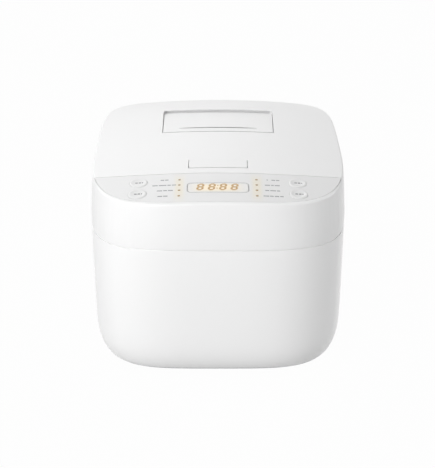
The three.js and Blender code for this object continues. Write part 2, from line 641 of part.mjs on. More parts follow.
const linerInset = wall + fitGap + 0.2;
const towerX = latchHalfWidth + 6.8;
const latchBore = solid(bar(latchPinRadius + restGap, -towerX - 3, towerX + 3, latchY, latchZ, 10));
const lidArms = sides.map(([, x]) => {
  const [x1, x2] = x < 0 ? [0.6 - earInner, -armInner] : [armInner, earInner - 0.6];
  return join(bar(knuckleRadius, x1, x2, pivotY, pivotZ),
    block(x1, x2, pivotY - knuckleRadius - 6, pivotY, linerBottom, pivotZ - 2));
});
const towers = sides.map(([, x]) =>
  block(x * towerX - 1.8, x * towerX + 1.8, latchY - 4, latchY + 4, roofTop - 1, latchZ + 4));
piece("lid_liner", cut(
  join(
    cut(plate(linerInset, linerBottom, linerBottom + wall), post(recessRadius, 0, potY, linerBottom - 1,
      linerBottom + wall + 1, roundSteps)),
    turned([[recessRadius, linerBottom], [linerRadius, linerBottom], [linerRadius, roofTop], [0, roofTop],
      [0, recessTop], [recessRadius, recessTop], [recessRadius, linerBottom]]),
    ...towers,
    ...lidArms,
  ),
  post(tubeBore + 3.1 + restGap, 0, tubeY, recessTop - 1, roofTop + 1),
  hookSlot(linerBottom),
  latchBore,
  bar(hingePinRadius + restGap, -60, 60, pivotY, pivotZ, 12),
  rearRelief,
  ...earNotches,
), whiteSatin);

const innerPlateRadius = potRadius - 5;
const platePeak = innerPlateBottom + 1.2;
const plateHoles = [];
for (let i = 0; i < 8; i++) {
  const angle = (i * Math.PI) / 4;
  const [x, y] = [5 * Math.cos(angle), tubeY + 5 * Math.sin(angle)];
  plateHoles.push(post(1.6, x, y, innerPlateBottom - 1, platePeak + 1, 6));
}
piece("inner_lid_plate", cut(turned([
  [0, innerPlateBottom], [innerPlateRadius - 14, innerPlateBottom], [innerPlateRadius - 10, innerPlateBottom - 1.6],
  [innerPlateRadius, innerPlateBottom - 1.6], [innerPlateRadius, innerPlateBottom - 0.4],
  [innerPlateRadius - 9.4, innerPlateBottom - 0.4], [innerPlateRadius - 13.4, platePeak], [0, platePeak],
]), ...plateHoles, post(5.4, -45, potY, innerPlateBottom - 1, platePeak + 1, 12)), aluminium);
piece("lid_gasket", turned([
  [innerPlateRadius + restGap, innerPlateBottom - 2.3], [potRadius - 1.5, innerPlateBottom - 3.1],
  [potRadius, gasketBottom], [potRadius + 3, gasketBottom], [potRadius + 3, gasketBottom + 2],
  [potRadius + 1.5, gasketBottom + 3], [potRadius + 1.5, innerPlateBottom - 0.5],
  [recessRadius - 0.4, innerPlateBottom + 0.1], [recessRadius - 0.4, recessTop - 3],
  [innerPlateRadius - 1, recessTop - 3], [innerPlateRadius - 1, innerPlateBottom + 0.1],
  [innerPlateRadius + restGap, innerPlateBottom + 0.1], [innerPlateRadius + restGap, innerPlateBottom - 2.3],
]), silicone);
piece("lid_sensor", turned([
  [0, innerPlateBottom - 2.5], [3.6, innerPlateBottom - 2.5], [5, innerPlateBottom - 1.5], [5, platePeak + 1],
  [5, recessTop - restGap], [0, recessTop - restGap],
], -45, potY, 16), steel);
piece("steam_seal", tube(8.6, 11.5, 0, tubeY, platePeak + restGap, recessTop - restGap, 20), silicone);
piece("steam_tube", turned([
  [tubeBore, recessTop - 2.4], [tubeBore + tubeWall - 0.3, recessTop - 2.4], [tubeBore + tubeWall, roofTop + 8],
  [tubeBore + tubeWall, pocketFloor + 1.5], [tubeBore, pocketFloor + 1.5], [tubeBore, recessTop - 2.4],
], 0, tubeY, 20), silicone);

// ---- Steam cap ----
const capSlope = Math.asin(capSink / (capBack - capFront));
const tilted = (drop) => lidBlock(0, drop, lidBottom)
  .translate(0, -capFront, -dome(0, capFront)).rotateX(-capSlope).translate(0, capFront, dome(0, capFront));
piece("steam_cap_cover", cut(
  common(capBlock(0, capSkirt, lidPeak + 2), tilted(0)),
  common(capBlock(2, capSkirt - 1, lidPeak + 2), tilted(2.2)),
  block(-ventLength / 2, ventLength / 2, ventY - ventWidth / 2, ventY + ventWidth / 2, capSkirt, lidPeak + 2),
), whiteSatin);
piece("steam_cap_base", cut(
  join(
    cut(capBlock(0.4, pocketFloor + restGap, capSkirt - restGap), capBlock(2.2, pocketFloor + 2, lidPeak)),
    post(12, 0, tubeY, pocketFloor + 1, pocketFloor + 9, 20),
  ),
  post(9.6, 0, tubeY, pocketFloor - 1, pocketFloor + 6, 20),
  post(4, 0, tubeY, pocketFloor, pocketFloor + 10, 12),
), whiteSatin);

// ---- Open button and latch ----
const buttonBlock = block(-buttonHalfWidth, buttonHalfWidth, buttonFront, buttonBack, latchZ, lidPeak);
const buttonUnder = solid(lidBlock(0, 2.2, lidBottom - 1));
const eyeX = buttonHalfWidth - 3.4;
const eyes = sides.map(([, x]) =>
  block(x * eyeX - 1.8, x * eyeX + 1.8, buttonPivotY - 2.6, buttonPivotY + 2.6, buttonPivotZ - 2.6, lidPeak));
const pusher = block(1 - latchHalfWidth, latchHalfWidth - 1, buttonFront + 0.5, buttonFront + 2.7, pusherTip, lidPeak);
piece("open_button", cut(
  join(
    cut(common(lidForm, buttonBlock), buttonUnder),
    common(lidForm, join(...eyes, pusher)),
  ),
  bar(buttonPinRadius + restGap, -lugX - 5, lugX + 5, buttonPivotY, buttonPivotZ, 10),
), whiteSatin);
piece("button_pin", bar(buttonPinRadius, -lugX - 1.5, lugX + 1.5, buttonPivotY, buttonPivotZ, 10), steel);
const hookFront = catchY - 5.5;
const hookTip = deckUnder - 7.5;
piece("latch_hook", cut(
  join(
    slice([
      [buttonFront + 3.5, pusherTip - 0.4], [buttonFront - 1.5, pusherTip - 0.4], [latchY - 6, latchZ + 2],
      [hookFront, roofTop + 3], [hookFront, hookTip + 2], [catchY - 0.7, hookTip], [catchY - 0.5, hookTip + 3.4],
      [hookFront + hookThickness, hookTip + 4.2], [hookFront + hookThickness, roofTop + 0.5],
      [potY - linerRadius + 1.5, roofTop + 2], [latchY + 2, latchZ - 4.5],
    ], -latchHalfWidth, latchHalfWidth),
    bar(5.2, -latchHalfWidth, latchHalfWidth, latchY, latchZ),
  ),
  latchBore,
), greyPlastic);
piece("latch_pin", bar(latchPinRadius, -towerX - 2, towerX + 2, latchY, latchZ, 10), steel);
const latchCoil = coil(2.7, 0.5, 4, 2).rotateY(Math.PI / 2);
piece("latch_spring", latchCoil.translate(latchHalfWidth + 0.5, latchY, latchZ), steel);

export default cooker;
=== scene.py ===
"""The looks of a rice cooker with a hinged lid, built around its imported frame.

The bench works in millimetres, in the frame's directions: X to the right, Y to the back, Z up.
settle() brings a finished piece to metres and hangs it on its body.
"""

import json
from contextlib import contextmanager
from math import asin, atan2, ceil, cos, hypot, pi, radians, sin, sqrt, tan, tau

import bpy
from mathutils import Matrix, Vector


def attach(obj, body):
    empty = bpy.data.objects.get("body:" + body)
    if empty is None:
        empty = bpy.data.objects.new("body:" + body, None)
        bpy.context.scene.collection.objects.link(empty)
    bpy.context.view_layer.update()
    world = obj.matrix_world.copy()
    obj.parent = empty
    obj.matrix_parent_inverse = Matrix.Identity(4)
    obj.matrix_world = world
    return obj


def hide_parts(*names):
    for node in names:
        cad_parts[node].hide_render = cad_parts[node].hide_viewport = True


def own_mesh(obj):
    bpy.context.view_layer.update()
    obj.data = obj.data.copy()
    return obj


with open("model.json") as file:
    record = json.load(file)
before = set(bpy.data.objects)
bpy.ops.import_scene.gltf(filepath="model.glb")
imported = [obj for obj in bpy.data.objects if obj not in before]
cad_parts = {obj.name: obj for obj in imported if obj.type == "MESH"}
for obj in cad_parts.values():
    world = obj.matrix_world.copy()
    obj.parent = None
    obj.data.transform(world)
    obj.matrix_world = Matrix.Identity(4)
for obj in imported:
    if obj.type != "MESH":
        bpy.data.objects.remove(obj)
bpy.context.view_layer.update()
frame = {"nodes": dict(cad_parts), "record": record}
scene = bpy.context.scene

MM = 0.001


def arc(radius, degrees, u=0, v=0):
    """Points round the middle (u, v), one at each angle."""
    return [(u + radius * cos(radians(angle)), v + radius * sin(radians(angle))) for angle in degrees]


# ---- Sizes of the body's form, as in the frame ----
HALF_WIDTH, HALF_DEPTH = 127, 156
SQUARENESS = 4.25  # exponent of the superellipse that the body has from above
PAN_BOTTOM, FILLET_HEIGHT, FILLET_REACH = 5, 35, 15
WALL_LEAN, BELLY, SHOULDER_LEAN = 1.6, 145, 2.1
LID_PEAK, PEAK_Y, FRONT_DROP, REAR_DROP, SIDE_DROP = 202, 30, 18, 9.3, 5.5
FRONT_EDGE = LID_PEAK - FRONT_DROP
CROWN = 57  # the smaller, the more the lid's top bends along its middle
SHOULDER = 2  # radius between the lid's wall and its top
WALL, SKIN = 2.5, 3.2
SHELL_BOTTOM, SHELL_TOP, LID_BOTTOM = 8, 137, 138
TONGUE = 0.64  # a lip behind the seam, that keeps it from showing as a dark gap

# ---- Sizes and places of the pieces ----
PANEL_LINE, PANEL_MIDDLE, PANEL_THICKNESS = -96, -124.5, 1.8
PANEL_INSET, PANEL_DEEPER, PANEL_GAP = 3.4, 2.4, 0.5
KEY_RADIUS, KEY_GAP, KEY_CROWN = 8.8, 0.15, 0.85
KEYS = {f"key_{side}_{row}": (x, y) for side, x in (("left", -76), ("right", 76))
        for row, y in (("upper", -111.8), ("lower", -132.9))}
LAMP_X, LAMP_ROWS, LAMP_RADIUS = 36.8, (-108.3, -118.5, -128.6, -138.8), 1.3
LAMPS = [(x, y) for x in (-LAMP_X, LAMP_X) for y in LAMP_ROWS]
WINDOW_HALF_WIDTH, WINDOW_HALF_DEPTH, WINDOW_CORNER = 28.8, 8.5, 4
CAP_HALF_WIDTH, CAP_REAR_HALF_WIDTH, CAP_FRONT, CAP_BACK, CAP_SINK = 57.2, 58.8, 10.3, 91, 3
POCKET_FLOOR, POCKET_GAP = 178, 0.6
TUBE_Y, SENSOR_X = 46, -45
BUTTON_HALF_WIDTH, BUTTON_FRONT, BUTTON_BACK = 28.4, -83.5, -66.5
BUTTON_PIN = (-70, 190.5)  # y and z
LATCH_Y, LATCH_Z, LATCH_HALF_WIDTH, CATCH_Y = -98, 167.97, 10, -117.5
PIVOT = PIVOT_Y, PIVOT_Z = 145, 147.5
KNUCKLE, RELIEF, SKIRT_END, PIN_RADIUS = 7, 10, 104, 2.5
EAR_IN, EAR_OUT = 44, 60
POT_Y, POT_RADIUS, POT_WALL, POT_BOTTOM, POT_CORNER = -6, 101, 1.8, 32, 22
LIP_RADIUS, LIP_UNDER, LIP_TOP = 108.5, 136.3, 138.3
DECK_TOP, DECK_UNDER, DECK_INSET, DECK_OPENING = 136, 133.5, 3.03, 103.9
LINER_BOTTOM, RECESS_TOP, ROOF_TOP, RECESS_RADIUS = 140, 150, 152, 105.5
HOOK_SLOT = (-12, 12), (-127.5, -117.6)  # x and y
POSTS = [(x, y) for y in (-112, 112) for x in (-60, 60)]
FEET = [(x, y) for y in (-100, 100) for x in (-80, 80)]
LEGS = arc(72, (90, 210, 330), 0, POT_Y)
INLET_X, INLET_LOW, INLET_HIGH, INLET_FRONT, INLET_BACK = 15, 41, 63, 131.3, 154.3
INLET_PINS = ((-7, 50), (0, 55), (7, 50))

OUTLINE_STEPS = 176  # points round the body
GRID = 9  # spacing of the cuts that let a flat top follow the dome
SHARP, FINE = 38, 30  # degrees: the least angle at an edge that stays sharp, on most and on round pieces
THROUGH = (-9, 210)  # from below the whole cooker to above it
SKIN_THROUGH = (-9, 5)  # the same for the lid's skin, while it lies flat
EDGE_EASE = 0.15  # rounding of the edges round the button and the steam cap


# ---- The body's form ----
def dome(x, y):
    """The height of the lid's top."""
    back = y - PEAK_Y
    forward, rearward = HALF_DEPTH + PEAK_Y, HALF_DEPTH - PEAK_Y
    lengthwise = FRONT_DROP * (back / forward) ** 2 if back < 0 else REAR_DROP * (back / rearward) ** 3
    crosswise = SIDE_DROP * (hypot(x, CROWN) - CROWN) / (hypot(HALF_WIDTH, CROWN) - CROWN)
    return LID_PEAK - lengthwise - crosswise


def lean(z):
    """How far the wall stands in from the widest outline at a height."""
    fillet_top = PAN_BOTTOM + FILLET_HEIGHT
    if z < fillet_top:
        depth = (fillet_top - max(z, PAN_BOTTOM)) / FILLET_HEIGHT
        return WALL_LEAN + FILLET_REACH * (1 - sqrt(1 - depth * depth))
    if z < BELLY:
        return WALL_LEAN * ((BELLY - z) / (BELLY - fillet_top)) ** 1.6
    return SHOULDER_LEAN * ((z - BELLY) / (FRONT_EDGE - BELLY)) ** 1.5


def shares(turn):
    """Where the outline lies in a direction from the middle, as shares of its half width and half depth."""
    x, y = cos(turn), sin(turn)
    reach = ((abs(x) / HALF_WIDTH) ** SQUARENESS + (abs(y) / HALF_DEPTH) ** SQUARENESS) ** (-1 / SQUARENESS)
    return reach * x / HALF_WIDTH, reach * y / HALF_DEPTH


def outline(inset, turn, deeper=0):
    """A place on the body's outline, set in from the widest, and further in by depth where asked."""
    across, along = shares(turn)
    return (HALF_WIDTH - inset) * across, (HALF_DEPTH - inset - deeper) * along


# A ring is a rule that gives the place of a wall's point for each direction from the middle.
def stack(ring, *places):
    """Rings of one kind, from what each is given."""
    return [ring(*place) for place in places]


def level_ring(inset, z):
    """A level ring of the body's outline, leaning in as the wall does at that height."""
    return lambda turn: (*outline(inset + lean(z), turn), z)


def flat_ring(inset, z):
    """A level ring at a set distance from the widest outline."""
    return lambda turn: (*outline(inset, turn), z)


# The lid is shaped with its top laid flat: heights are measured from the dome, and drape() lifts it back.
def lid_wall(inset, share):
    """A ring of the lid's wall, at a share of the way from the bottom edge to the shoulder."""
    def ring(turn):
        top = dome(*outline(SHOULDER_LEAN, turn)) - SHOULDER
        z = LID_BOTTOM + share * (top - LID_BOTTOM)
        x, y = outline(inset + lean(z), turn)
        return x, y, z - dome(x, y)
    return ring


def lid_top(back, level):
    """A ring of the lid's top, at a distance in from the shoulder's foot."""
    def ring(turn):
        foot = lean(dome(*outline(SHOULDER_LEAN, turn)) - SHOULDER)
        return *outline(foot + back, turn), level
    return ring


def lid_shoulder(degrees):
    """A ring of the rounding between the lid's wall and its top."""
    angle = radians(degrees)
    return lid_top(SHOULDER * (1 - cos(angle)), SHOULDER * (sin(angle) - 1))


SHOULDER_RINGS = [lid_shoulder(degrees) for degrees in range(0, 91, 15)]


# ---- The bench ----
def nothing_picked():
    bpy.ops.object.select_all(action="DESELECT")


def alone(piece):
    """Picks one piece and nothing else."""
    nothing_picked()
    piece.select_set(True)
    bpy.context.view_layer.objects.active = piece
    return piece


@contextmanager
def editing(piece, places=None):
    """Edit mode on one piece, with all of it selected, or only the points whose places pass a test."""
    mesh = alone(piece).data
    for part in (mesh.vertices, mesh.edges, mesh.polygons):
        part.foreach_set("select", [False] * len(part))
    for point in mesh.vertices:
        point.select = not places or places(point.co)
    bpy.context.tool_settings.mesh_select_mode = (True, False, False)
    bpy.ops.object.mode_set(mode="EDIT")
    yield
    bpy.ops.object.mode_set(mode="OBJECT")


def outward(piece, merge=0.002):
    """Merges points that meet and turns every face outwards."""
    with editing(piece):
        bpy.ops.mesh.remove_doubles(threshold=merge)
        bpy.ops.mesh.normals_make_consistent(inside=False)
    return piece


def reshape(piece, rule):
    """Moves each point from its (x, y, z) to where the rule puts it."""
    for point in piece.data.vertices:
        point.co = rule(*point.co)
    piece.data.update()
    return piece


def circle(name, vertices, radius=1, **settings):
    """A ring of points to start a piece from."""
    nothing_picked()
    bpy.ops.mesh.primitive_circle_add(vertices=vertices, radius=radius, **settings)
    piece = bpy.context.object
    piece.name = name
    return piece


def outlined(name, places, **settings):
    """A ring of points, each brought to its place."""
    piece = circle(name, len(places), **settings)
    for point, place in zip(piece.data.vertices, places):
        point.co = place
    return piece


def ringed(name, rings, closed=False):
    """A wall raised ring by ring. Its ends are closed with a face, or meet where closed is true."""
    piece = circle(name, OUTLINE_STEPS)
    rings = [*rings, rings[0]] if closed else rings
    with editing(piece):
        for _ in rings[1:]:
            bpy.ops.mesh.extrude_region_move(TRANSFORM_OT_translate={"value": (0, 0, 1)})
        if not closed:
            bpy.ops.mesh.edge_face_add()
    if not closed:
        with editing(piece, lambda place: place.z < 0.5):
            bpy.ops.mesh.edge_face_add()
    reshape(piece, lambda x, y, z: rings[round(z)](atan2(y, x)))
    return outward(piece)


def eased(corners, steps=5):
    """An outline of (u, v, radius) corners, each rounded by its radius."""
    made = []
    for i, corner in enumerate(corners):
        u, v, radius = (*corner, 0)[:3]
        if not radius:
            made.append((u, v))
            continue
        here = Vector((u, v))
        before = (Vector(corners[i - 1][:2]) - here).normalized()
        after = (Vector(corners[(i + 1) % len(corners)][:2]) - here).normalized()
        half = before.angle(after) / 2
        middle = here + (before + after).normalized() * radius / sin(half)
        start = here + before * radius / tan(half) - middle
        end = here + after * radius / tan(half) - middle
        first = atan2(start.y, start.x)
        sweep = (atan2(end.y, end.x) - first + pi) % tau - pi
        for step in range(steps + 1):
            angle = first + sweep * step / steps
            made.append((middle.x + radius * cos(angle), middle.y + radius * sin(angle)))
    return made


def turned(name, corners, x=0, y=POT_Y, steps=96, ease=4):
    """A closed section of (out, up, radius) corners, turned about an upright axis."""
    piece = outlined(name, [(out, 0, up) for out, up in eased(corners, ease)])
    with editing(piece):
        bpy.ops.mesh.spin(steps=steps, angle=tau, axis=(0, 0, 1))
    outward(piece)
    with editing(piece):
        bpy.ops.transform.translate(value=(x, y, 0))
    return piece


def box(u1, u2, v1, v2, front=0, back=None, steps=5):
    """The outline of a rectangle, rounded at the low v side and at the high v side."""
    back = front if back is None else back
    return eased([(u1, v1, front), (u2, v1, front), (u2, v2, back), (u1, v2, back)], steps)


def round_outline(radius, u=0, v=0, steps=48):
    return arc(radius, [360 * i / steps for i in range(steps)], u, v)


def prism(name, points, low, high, along="Z"):
    """A flat outline raised along Z, along X from (y, z) points, or along Y from (x, z) points."""
    piece = outlined(name, [(u, v, low) for u, v in points], fill_type="NGON")
    with editing(piece):
        bpy.ops.mesh.extrude_region_move(TRANSFORM_OT_translate={"value": (0, 0, high - low)})
    if along == "X":
        reshape(piece, lambda x, y, z: (z, x, y))
    if along == "Y":
        reshape(piece, lambda x, y, z: (x, z, y))
    return outward(piece, merge=0.0001)


def apply_modifier(piece, kind, **settings):
    alone(piece)
    bpy.ops.object.modifier_add(type=kind)
    modifier = piece.modifiers[-1]
    for name, value in settings.items():
        setattr(modifier, name, value)
    bpy.ops.object.modifier_apply(modifier=modifier.name)
    return piece


def with_tools(operation):
    """A maker that uses up other solids on a piece."""
    def work(piece, *tools):
        for tool in tools:
            apply_modifier(piece, "BOOLEAN", operation=operation, solver="EXACT", object=tool)
            bpy.data.objects.remove(tool)
        return piece
    return work


cut, common, fused = with_tools("DIFFERENCE"), with_tools("INTERSECT"), with_tools("UNION")


def joined(*pieces, name=None):
    """Several pieces as one, each keeping its own surface."""
    first = alone(pieces[0])
    for piece in pieces[1:]:
        piece.select_set(True)
    bpy.ops.object.join()
    first.name = name or first.name
    return first


def soften(piece, width, steps=2, angle=50):
    """Rounds all the edges that turn by more than an angle."""
    return apply_modifier(
        piece, "BEVEL", width=width, segments=steps, limit_method="ANGLE", angle_limit=radians(angle))


def ease_rim(piece, places):
    """Rounds the edges between the points whose places pass a test."""
    with editing(piece, places):
        bpy.ops.mesh.bevel(offset=EDGE_EASE, segments=2, affect="EDGES")


def gridded(piece, spacing=GRID):
    """Cuts a piece along even lines across and along, so that its flat faces can bend."""
    spread = [[point.co[axis] for point in piece.data.vertices] for axis in (0, 1)]
    with editing(piece):
        for places, facing in zip(spread, ((1, 0, 0), (0, 1, 0))):
            for line in range(ceil(min(places) / spacing), ceil(max(places) / spacing)):
                bpy.ops.mesh.select_all(action="SELECT")
                place = [line * spacing * share for share in facing]
                bpy.ops.mesh.bisect(plane_co=place, plane_no=facing)
    return piece


def drape(piece, slope=0, from_y=0):
    """Lifts a piece that was shaped flat onto the dome. A slope lets it sink towards the back."""
    return reshape(piece, lambda x, y, z: (x, y, z + dome(x, y) - slope * (y - from_y)))


def on_top(piece, x, y):
    """Stands a piece that was shaped about the Z axis on the dome at a place, square to the surface."""
    normal = Vector((dome(x - 0.5, y) - dome(x + 0.5, y), dome(x, y - 0.5) - dome(x, y + 0.5), 1))
    piece.rotation_euler = Vector((0, 0, 1)).rotation_difference(normal).to_euler()
    piece.location = (x, y, dome(x, y))
    alone(piece)
    bpy.ops.object.transform_apply()
    return piece


def settle(piece, body, slot, *replaced, finish=None, smooth=SHARP, weighted=True):
    """Gives a finished piece its finish, brings it to metres and hangs it on its body."""
    alone(piece)
    piece.scale = (MM, MM, MM)
    bpy.ops.object.transform_apply()
    bpy.ops.object.shade_smooth_by_angle(angle=radians(smooth))
    if weighted:
        apply_modifier(piece, "WEIGHTED_NORMAL", keep_sharp=True, weight=60)
    piece.data.materials.clear()
    piece.data.materials.append(finish or FINISHES[slot])
    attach(piece, body)
    if replaced:
        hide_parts(*replaced)
    return piece


# ---- Finishes ----
def maths(operation, swapped=False):
    """An operator of Value, as a Math node."""
    def operate(value, other):
        numbers = (other, value) if swapped else (value, other)
        return value.nodes.node("ShaderNodeMath", {"operation": operation}, dict(enumerate(numbers)))
    return operate


class Value:
    """A number that varies over a surface. Python's operators on it add Math nodes."""

    def __init__(self, nodes, socket):
        self.nodes, self.socket = nodes, socket

    __add__ = __radd__ = maths("ADD")
    __mul__ = __rmul__ = maths("MULTIPLY")
    __sub__, __rsub__ = maths("SUBTRACT"), maths("SUBTRACT", swapped=True)
    __truediv__, __rtruediv__ = maths("DIVIDE"), maths("DIVIDE", swapped=True)
    __pow__ = maths("POWER")


class Nodes:
    """The nodes of a finish or of the world."""

    def __init__(self, owner):
        owner.use_nodes = True
        self.tree = owner.node_tree

    def node(self, kind, settings, sockets, *outputs):
        """Adds a node with its settings and filled or linked sockets, and gives the outputs asked for."""
        made = self.tree.nodes.new(kind)
        for setting, value in settings.items():
            setattr(made, setting, value)
        for socket, value in sockets.items():
            if isinstance(value, Value):
                self.tree.links.new(value.socket, made.inputs[socket])
            else:
                made.inputs[socket].default_value = value
        values = [Value(self, made.outputs[output]) for output in outputs or (0,)]
        return values if len(values) > 1 else values[0]

    def shown_plainly(self):
        """1 where it is seen straight, in a mirror or through glass, and 0 where it lights the rest."""
        straight, mirrored, through = self.node(
            "ShaderNodeLightPath", {}, {}, "Is Camera Ray", "Is Glossy Ray", "Is Transmission Ray")
        return straight + mirrored + through

    def end(self, last, first, share, second):
        """Ends the tree with a mix of the shader it came with and another."""
        nodes = self.tree.nodes
        first = Value(self, nodes[first].outputs[0])
        both = self.node("ShaderNodeMixShader", {}, {0: share, 1: first, 2: second})
        self.tree.links.new(both.socket, nodes[last].inputs["Surface"])


class Finish(Nodes):
    """A material around one Principled shader. Settings that are the same all over are given by name."""

    def __init__(self, name, **everywhere):
        self.material = bpy.data.materials.new(name)
        super().__init__(self.material)
        self.shader = self.tree.nodes["Principled BSDF"]
        for socket, value in everywhere.items():
            self.shader.inputs[socket.replace("_", " ")].default_value = value

    def place(self):
        return self.node("ShaderNodeTexCoord", {}, {}, "Object")

    def place_along(self, *axes):
        return self.node("ShaderNodeSeparateXYZ", {}, {"Vector": self.place()}, *axes)

    def noise(self, scale, detail=2, roughness=0.5, stretch=None):
        here = self.place()
        if stretch:
            here = self.node("ShaderNodeMapping", {}, {"Vector": here, "Scale": stretch})
        return self.node("ShaderNodeTexNoise", {}, {
            "Vector": here, "Scale": scale, "Detail": detail, "Roughness": roughness})

    def mix(self, share, first, second):
        return self.node("ShaderNodeMix", {"data_type": "RGBA"}, {0: share, 6: first, 7: second}, 2)

    def bump(self, height, depth):
        return self.node("ShaderNodeBump", {}, {"Height": height, "Distance": depth})

    def varies(self, **sockets):
        for socket, value in sockets.items():
            self.tree.links.new(value.socket, self.shader.inputs[socket.replace("_", " ")])


def linear(*tones):
    """A colour as it is seen, one grey or red, green and blue from 0 to 255, as the shader needs it."""
    tones = [tone / 255 for tone in (tones * 3)[:3]]
    return (*[tone / 12.92 if tone <= 0.04045 else ((tone + 0.055) / 1.055) ** 2.4 for tone in tones], 1)


def drifting(finish, share, tones, deep):
    """A colour that goes over to a deeper one by a varying share."""
    colour = linear(*tones)
    return finish.mix(share, (*[tone * deep for tone in colour[:3]], 1), colour)


def painted_glow_share(finish, x, y, reach_x, reach_y, both_sides=False):
    """How much painted glow a place takes from around (x, y): 1 there, and next to 0 beyond the reach."""
    across, along = finish.place_along("X", "Y")
    if both_sides:
        across = (across * across) ** 0.5
    across, along = (across - x * MM) / (reach_x * MM), (along - y * MM) / (reach_y * MM)
    return (1 + (across * across) ** 2.5 + (along * along) ** 2.5) ** -1


def moulded(name, tones, roughness, grain=0.000012, coat=0, painted_glow_tones=None):
    """Moulded plastic with a slow drift of tone and a fine grain.

    A coat makes it glossy below the lid's top. Painted glow: round the panel's lamps the base colour turns
    to a warmer tone, which stands in for their light shining through it.
    """
    finish = Finish(name, IOR=1.5, Coat_Roughness=0.12)
    drift = finish.noise(7, 3)
    fine = finish.noise(1500, 3, 0.6)
    smear = finish.noise(60, 2, stretch=(1, 1, 0.4))
    shown = drifting(finish, drift * 0.7 + fine * 0.3, tones, 0.975)
    if painted_glow_tones:
        # painted glow round the panel's lamps, mixed into the base colour
        middle = (LAMP_ROWS[0] + LAMP_ROWS[-1]) / 2
        lit = painted_glow_share(finish, LAMP_X, middle, *LAMP_REACH, both_sides=True)
        shown = finish.mix(lit, shown, linear(*painted_glow_tones))
    finish.varies(
        Base_Color=shown,
        Roughness=roughness - 0.05 + smear * 0.07 + fine * 0.04,
        Normal=finish.bump(fine, grain))
    if coat:
        height = finish.place_along("Z")
        below_the_top = (1 + (height / (FRONT_EDGE * MM)) ** 60) ** -1
        finish.varies(Coat_Weight=coat * (0.85 + 0.3 * drift) * below_the_top)
    return finish.material


def metal(name, tones, roughness, brushed=None, scale=300):
    """Bare metal with fine brush marks, darker where it has dulled."""
    finish = Finish(name, Metallic=1)
    marks = finish.noise(scale, 3, 0.6, brushed)
    dull = finish.noise(22, 3, 0.6)
    finish.varies(
        Base_Color=drifting(finish, dull * 0.6 + marks * 0.4, tones, 0.8),
        Roughness=roughness - 0.08 + dull * 0.1 + marks * 0.08,
        Normal=finish.bump(marks, 0.000006))
    return finish.material


def lit_lens(name, tones, painted_glow_tones):
    """A smooth lens, its base colour painted a warmer tone round the middle as a glow from the lit figures
    behind it.
    """
    finish = Finish(name, IOR=1.5)
    # painted glow: the share of the warmer tone in the base colour, round the figures
    glow = painted_glow_share(finish, -1, PANEL_MIDDLE, *FIGURES_REACH)
    fine = finish.noise(1500, 3, 0.6)
    finish.varies(
        Base_Color=finish.mix(glow * 0.9 + fine * 0.1, linear(*tones), linear(*painted_glow_tones)),
        Roughness=0.14 + fine * 0.06,
        Normal=finish.bump(fine, 0.000001))
    return finish.material


def glowing(name, tones, strength):
    """A lit lamp, a little deeper in places."""
    finish = Finish(name, Roughness=0.3, Emission_Strength=strength)
    shown = drifting(finish, finish.noise(900, 1), tones, 0.8)
    finish.varies(Base_Color=shown, Emission_Color=shown)
    return finish.material


FIGURES_REACH, LAMP_REACH = (19.5, 6.5), (4.2, 19)  # how far their painted glow shows, across and along
FINISHES = {
    "white_shell": moulded("white gloss plastic", (241,), 0.36, coat=0.4),
    "white_lid": moulded("white satin plastic", (238,), 0.46, coat=0.4),
    # the panel's white is set darker than the lid's, partly for its own greyer tone and partly as painted
    # shade for the less light its forward slope gets; it also carries the painted glow round the lamps
    "white_panel": moulded("white panel plastic with painted shade and glow", (227,), 0.42, painted_glow_tones=(229, 223, 209)),
    "white_inner": moulded("white inner plastic", (232, 232, 230), 0.42),
    "grey_plastic": moulded("grey plastic", (176, 178, 180), 0.5),
    "dark_plastic": moulded("dark plastic", (44, 45, 47), 0.5),
    "rubber": moulded("grey rubber", (62, 63, 65), 0.8, grain=0.00003),
    "silicone": moulded("milky silicone", (216, 216, 212), 0.6),
    "pale_lens": lit_lens("pale window lens", (208, 211, 215), (242, 225, 192)),
    "circuit_board": moulded("green circuit board", (42, 106, 62), 0.5),
    "amber_lens": glowing("amber lamp", (166, 138, 94), 0.03),
    "bare_aluminium": metal("bare aluminium", (205, 207, 209), 0.36),
    "steel": metal("steel", (185, 187, 190), 0.3),
    "brass": metal("brass", (205, 175, 105), 0.32),
    "pot_coating": moulded("non-stick coating", (58, 58, 60), 0.42, grain=0.00002),
}
PRINT_GREY = moulded("grey print", (148, 148, 151), 0.5, grain=0.000002)
PRINT_DARK = moulded("dark grey print", (112, 112, 115), 0.5, grain=0.000002)
AMBER_FIGURES = glowing("amber figures", (174, 132, 56), 0.1)
SPUN_ALUMINIUM = metal("spun aluminium", (205, 207, 209), 0.34, (1, 1, 8), 200)

for material_row in frame["record"]["materials"]:
    for node in material_row.get("nodes", []):
        carried = frame["nodes"][node].data.materials
        carried.clear()
        carried.append(FINISHES[material_row["slot"]])


# ---- Makers shared by the pieces ----
def block(name, x, y, z, front=0, back=None):
    """A block between (low, high) pairs, its upright edges rounded at the front and at the back."""
    return prism(name, box(*x, *y, front, back), *z)


def rod(name, radius, x, y, z, ease=0.4, steps=40):
    """A round bar along X with eased ends."""
    bar = prism(name, round_outline(radius, y, z, steps), *x, "X")
    return soften(bar, ease) if ease else bar


def bore(radius, y, z, steps=24):
    """A round hole through everything along X."""
    return rod("bore", radius, (-HALF_WIDTH, HALF_WIDTH), y, z, 0, steps)


def posts(name, radius, places, z=THROUGH, steps=40):
    """Upright round bars, one at each place."""
    return [prism(name, round_outline(radius, x, y, steps), *z) for x, y in places]


